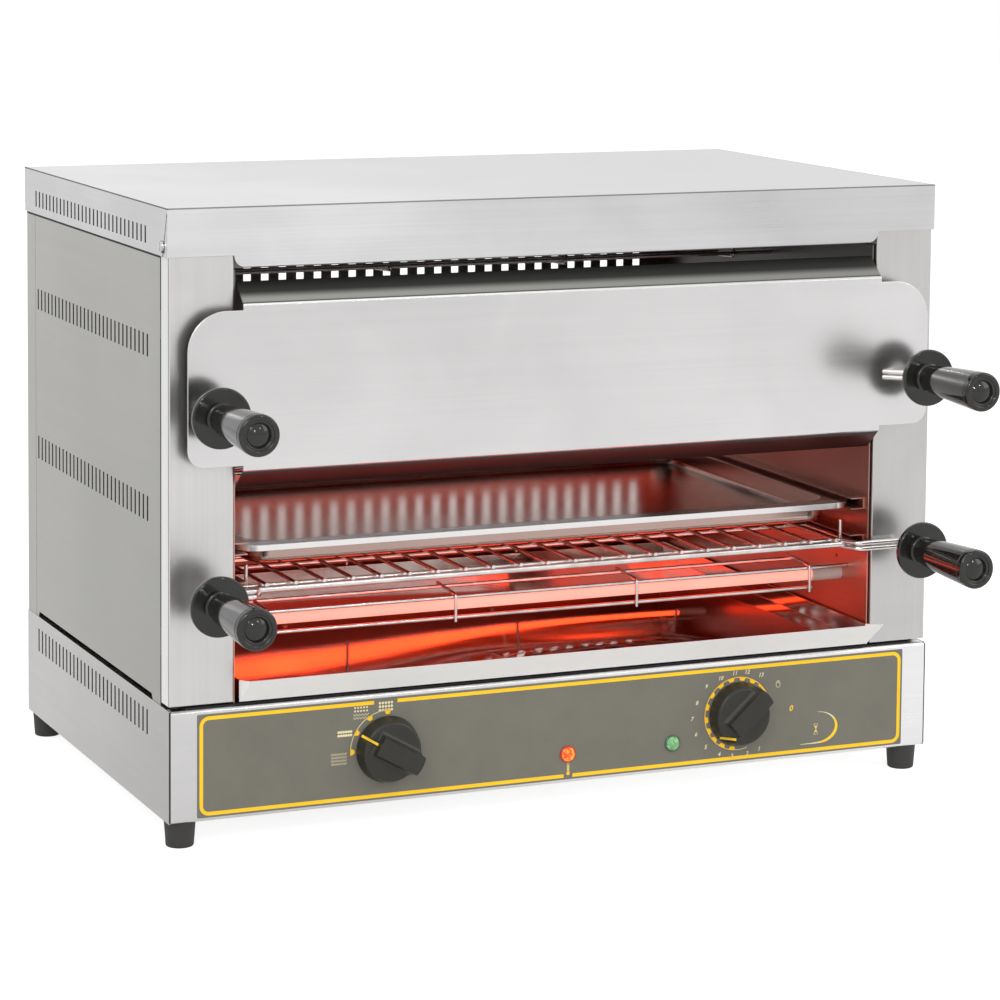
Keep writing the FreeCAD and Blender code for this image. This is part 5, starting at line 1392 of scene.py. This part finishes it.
    def lens(self, node: str) -> Mesh:
        """Cut lens: rings of ten facets, each ring turned half a step from the last.

        Args:
            node: frame node of the lamp.

        Returns:
            Points and face blocks.
        """
        x, _, z = middle(node)
        face, sides = self.label_face(), self.lens_sides
        radii = np.array([5.6, 5.5, 4.2, 2.2]) * MM
        heights = np.array([0.0, 1.5, 2.9, 3.5]) * MM
        angle = (2.0 * np.arange(sides)[None, :] + np.arange(4)[:, None]) * np.pi / sides
        points = np.stack([x + radii[:, None] * np.cos(angle), face - heights[:, None] + 0.0 * angle,
                           z + radii[:, None] * np.sin(angle)], -1).reshape(-1, 3)
        here = np.arange(sides)
        after = (here + 1) % sides
        faces = []
        for ring in range(3):
            base, up = ring * sides, (ring + 1) * sides
            faces.append(np.stack([base + here, base + after, up + here], -1))
            faces.append(np.stack([base + after, up + after, up + here], -1))
        points = np.concatenate([points, [[x, face - 3.55 * MM, z], [x, face + 0.05 * MM, z]]])
        faces.append(np.stack([3 * sides + here, 3 * sides + after, np.full(sides, 4 * sides)], -1))
        faces.append(np.stack([after, here, np.full(sides, 4 * sides + 1)], -1))
        return points, faces

    def bezel(self, node: str) -> Mesh:
        """Rounded collar round a lens, on the label, with the lamp's barrel behind it."""
        x, _, z = middle(node)
        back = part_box(node)[1].y - self.label_face()
        quarter = np.linspace(0.0, np.pi / 2.0, 6)
        inner, outer, edge = self.barrel_radius, self.collar_radius, self.collar_edge
        profile = [(0.0, back), (inner, back), (inner, 0.0), (outer, 0.0)]
        profile += list(zip(outer - edge * (1.0 - np.cos(quarter)), -0.4 * MM - edge * np.sin(quarter)))
        profile += [(5.3 * MM, -1.1 * MM), (0.0, -1.1 * MM)]
        return turned(profile[::-1], (x, self.label_face(), z), Axis.Y, 32)

    def build(self) -> None:
        """Prints the label, turns the knobs and sets the lamps."""
        dress(PrintFinish("label_film", (0.205, 0.195, 0.155), 0.38, 0.04, 0.05).make(), "control_label")
        # Both inks glow faintly: painted light that brightens the print.
        yellow_ink = PrintFinish("ink_yellow", (1.0, 0.60, 0.012), 0.4, 0.05, lift=0.24).make()
        pale_ink = PrintFinish("ink_pale", (0.88, 0.78, 0.46), 0.45, 0.08, lift=0.1).make()
        for draw in (self.frame_lines, self.selector_marks, self.timer_marks, self.pictograms, self.figures):
            draw()
        for name, shapes, ink in (("yellow", self.yellow, yellow_ink), ("pale", self.pale, pale_ink)):
            settle(new_piece("label_print_" + name, *gathered(shapes), sharp=20.0), ink, "oven", "label_grey")
        black = MouldedFinish("knob_satin_black", (0.028, 0.027, 0.021), 0.36, 0.12, 0.2, 1600.0, specular=0.4,
                              rubbed=0.1).make()
        grooves = (
            (Knob.SELECTOR, ((25.4 * MM, 0.0), (14.0 * MM, 0.0))),
            (Knob.TIMER, ((24.4 * MM, 1.3 * MM), (17.1 * MM, 8.3 * MM))),
        )
        for knob, groove in grooves:
            name, body = knob.value[:2]
            cap, bar = self.placed(self.knob_shape(groove), knob), self.placed(self.pointer(groove), knob)
            settle(new_piece(name + "_moulded", *cap, sharp=35.0), black, body, "knob_black", name)
            settle(new_piece(name + "_pointer", *bar), yellow_ink, body, "knob_black")
        orange = GlowFinish("lens_orange", (0.45, 0.05, 0.01), (1.0, 0.52, 0.04), 0.9, patch_scale=330.0,
                            ember=(0.9, 0.06, 0.01))
        green = GlowFinish("lens_green", (0.16, 0.36, 0.16), (0.45, 0.70, 0.38), 0.45, patch_scale=330.0,
                           ember=(0.10, 0.32, 0.12))
        lamps = (
            ("heating_lamp", "orange_lens", (0.62, 0.03, 0.012), orange),
            ("power_lamp", "green_lens", (0.05, 0.15, 0.07), green),
        )
        for node, slot, rim, glow in lamps:
            collar = MouldedFinish(node + "_rim", rim, 0.25, 0.1, 0.05, coat=0.5).make()
            settle(new_piece(node + "_bezel", *self.bezel(node)), collar, "oven", slot, node)
            settle(new_piece(node + "_lens", *self.lens(node), sharp=5.0), glow.make(), "oven", slot)


@dataclass
class Services:
    """Switches, shafts, wiring and gland inside and behind the control box."""

    def dress(self) -> None:
        """Gives the supply parts their plastics and metals."""
        dress(MouldedFinish("switch_moulded", (0.05, 0.05, 0.052), 0.5).make(), "selector_switch", "timer_case")
        dress(WireFinish("shaft_steel_turned", (0.55, 0.55, 0.55), 0.22).make(), "selector_shaft", "timer_shaft")
        dress(MouldedFinish("terminal_moulded", (0.55, 0.53, 0.48), 0.5).make(), "terminal_block")
        dress(MouldedFinish("gland_moulded", (0.03, 0.03, 0.032), 0.45).make(), "cable_gland")
        dress(MouldedFinish("sleeve_woven", (0.42, 0.40, 0.36), 0.7, 0.25, 0.6, 700.0).make(), "wiring_harness")


@dataclass
class Studio:
    """Camera of the photograph, soft lamps, white surroundings and floor."""

    position: Place = (-1.077, -2.481, 0.714)
    heading: float = 23.51
    dip: float = 5.33
    roll: float = 0.49
    focal_pixels: float = 3391.0
    axis_row: float = 200.0
    image: float = 1000.0
    floor_reach: float = 9.0

    def camera(self) -> None:
        """Places the camera: looks along the heading, dips, then rolls about its own axis."""
        data = bpy.data.cameras.new("camera")
        data.sensor_width = 36.0
        data.lens = self.focal_pixels * data.sensor_width / self.image
        data.shift_y = -(self.image / 2.0 - self.axis_row) / self.image
        data.clip_start, data.clip_end = 0.05, 60.0
        holder = bpy.data.objects.new("camera", data)
        bpy.context.scene.collection.objects.link(holder)
        bearing, fall = math.radians(self.heading), math.radians(self.dip)
        ahead = Vector((math.sin(bearing) * math.cos(fall), math.cos(bearing) * math.cos(fall), -math.sin(fall)))
        holder.rotation_mode = "QUATERNION"
        turn = ahead.to_track_quat("-Z", "Y") @ Matrix.Rotation(math.radians(self.roll), 4, "Z").to_quaternion()
        holder.rotation_quaternion = turn
        holder.location = self.position
        bpy.context.scene.camera = holder

    def lamp(self, name: str, place: Place, size: Pair, watts: float) -> None:
        """Hangs one softbox that faces the object."""
        data = bpy.data.lights.new(name, "AREA")
        data.shape = "RECTANGLE"
        data.size, data.size_y = size
        data.energy = watts
        holder = bpy.data.objects.new(name, data)
        bpy.context.scene.collection.objects.link(holder)
        holder.location = place
        holder.rotation_mode = "QUATERNION"
        holder.rotation_quaternion = (Vector((0.0, 0.05, 0.25)) - Vector(place)).to_track_quat("-Z", "Y")

    def surroundings(self) -> None:
        """White for the eye and in reflections, a softer grey as light."""
        world = bpy.data.worlds.new("studio")
        bpy.context.scene.world = world
        world.use_nodes = True
        shade = Shade(world.node_tree)
        path = shade.node("ShaderNodeLightPath").outputs
        seen = shade.maths("MAXIMUM", path["Is Camera Ray"], path["Is Glossy Ray"])
        seen = shade.maths("MAXIMUM", seen, path["Is Transmission Ray"])
        light = shade.blend(seen, (0.55, 0.55, 0.56, 1.0), (1.0, 1.0, 1.0, 1.0))
        shade.fill(world.node_tree.nodes["Background"], {"Color": light})

    def floor(self) -> None:
        """Wide pale floor that keeps the shadow: a flat grid under the feet."""
        line = np.linspace(-self.floor_reach, self.floor_reach, 3)
        x, y = np.meshgrid(line, line, indexing="ij")
        points = np.stack([x, y, np.zeros_like(x)], -1).reshape(-1, 3)
        ground = new_piece("studio_floor", points, [grid_faces(3, 3)[:, ::-1]])
        material, shade, shader = fresh_material("studio_paper")
        fibre = shade.noise(shade.place(), 300.0, 3.0)
        path = shade.node("ShaderNodeLightPath").outputs
        glossy = shade.blend(path["Is Glossy Ray"], (0.0, 0.0, 0.0, 1.0), (0.44, 0.44, 0.44, 1.0))
        shade.fill(shader, {
            "Base Color": shade.blend(fibre, (0.62, 0.62, 0.62, 1.0), (0.65, 0.65, 0.65, 1.0)),
            "Roughness": 0.9,
            "Specular IOR Level": 0.0,
            "Emission Color": shade.blend(path["Is Camera Ray"], glossy, (0.76, 0.76, 0.76, 1.0)),
            "Emission Strength": 1.0,
        })
        ground.data.materials.append(material)

    def build(self) -> None:
        """Sets up camera, light and floor."""
        self.camera()
        self.surroundings()
        self.lamp("key_softbox", (-2.2, -2.6, 2.6), (2.4, 2.0), 42.0)
        self.lamp("fill_softbox", (2.6, -1.8, 1.8), (2.0, 2.0), 22.0)
        self.lamp("top_softbox", (0.0, 0.6, 3.0), (2.6, 2.2), 12.0)
        self.lamp("spark_high", (0.9, -2.7, 1.7), (0.12, 0.12), 4.0)
        self.lamp("spark_low", (-0.65, -3.1, 1.15), (0.14, 0.14), 6.0)
        self.floor()
        bpy.context.scene.view_settings.view_transform = "Standard"


def corners(pair: Tuple[Vector, Vector]) -> List[List[float]]:
    """Two corners as plain lists."""
    return [list(pair[0]), list(pair[1])]


def main() -> None:
    """Builds every sub-assembly in order."""
    logging.basicConfig(level=logging.INFO, format="%(name)s %(message)s")
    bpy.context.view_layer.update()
    Casing().build()
    Cavity().dress()
    HeatingBanks().build()
    Carriages().build()
    Trays().dress()
    ControlPanel().build()
    Services().dress()
    Studio().build()


if __name__ == "__main__":
    main()
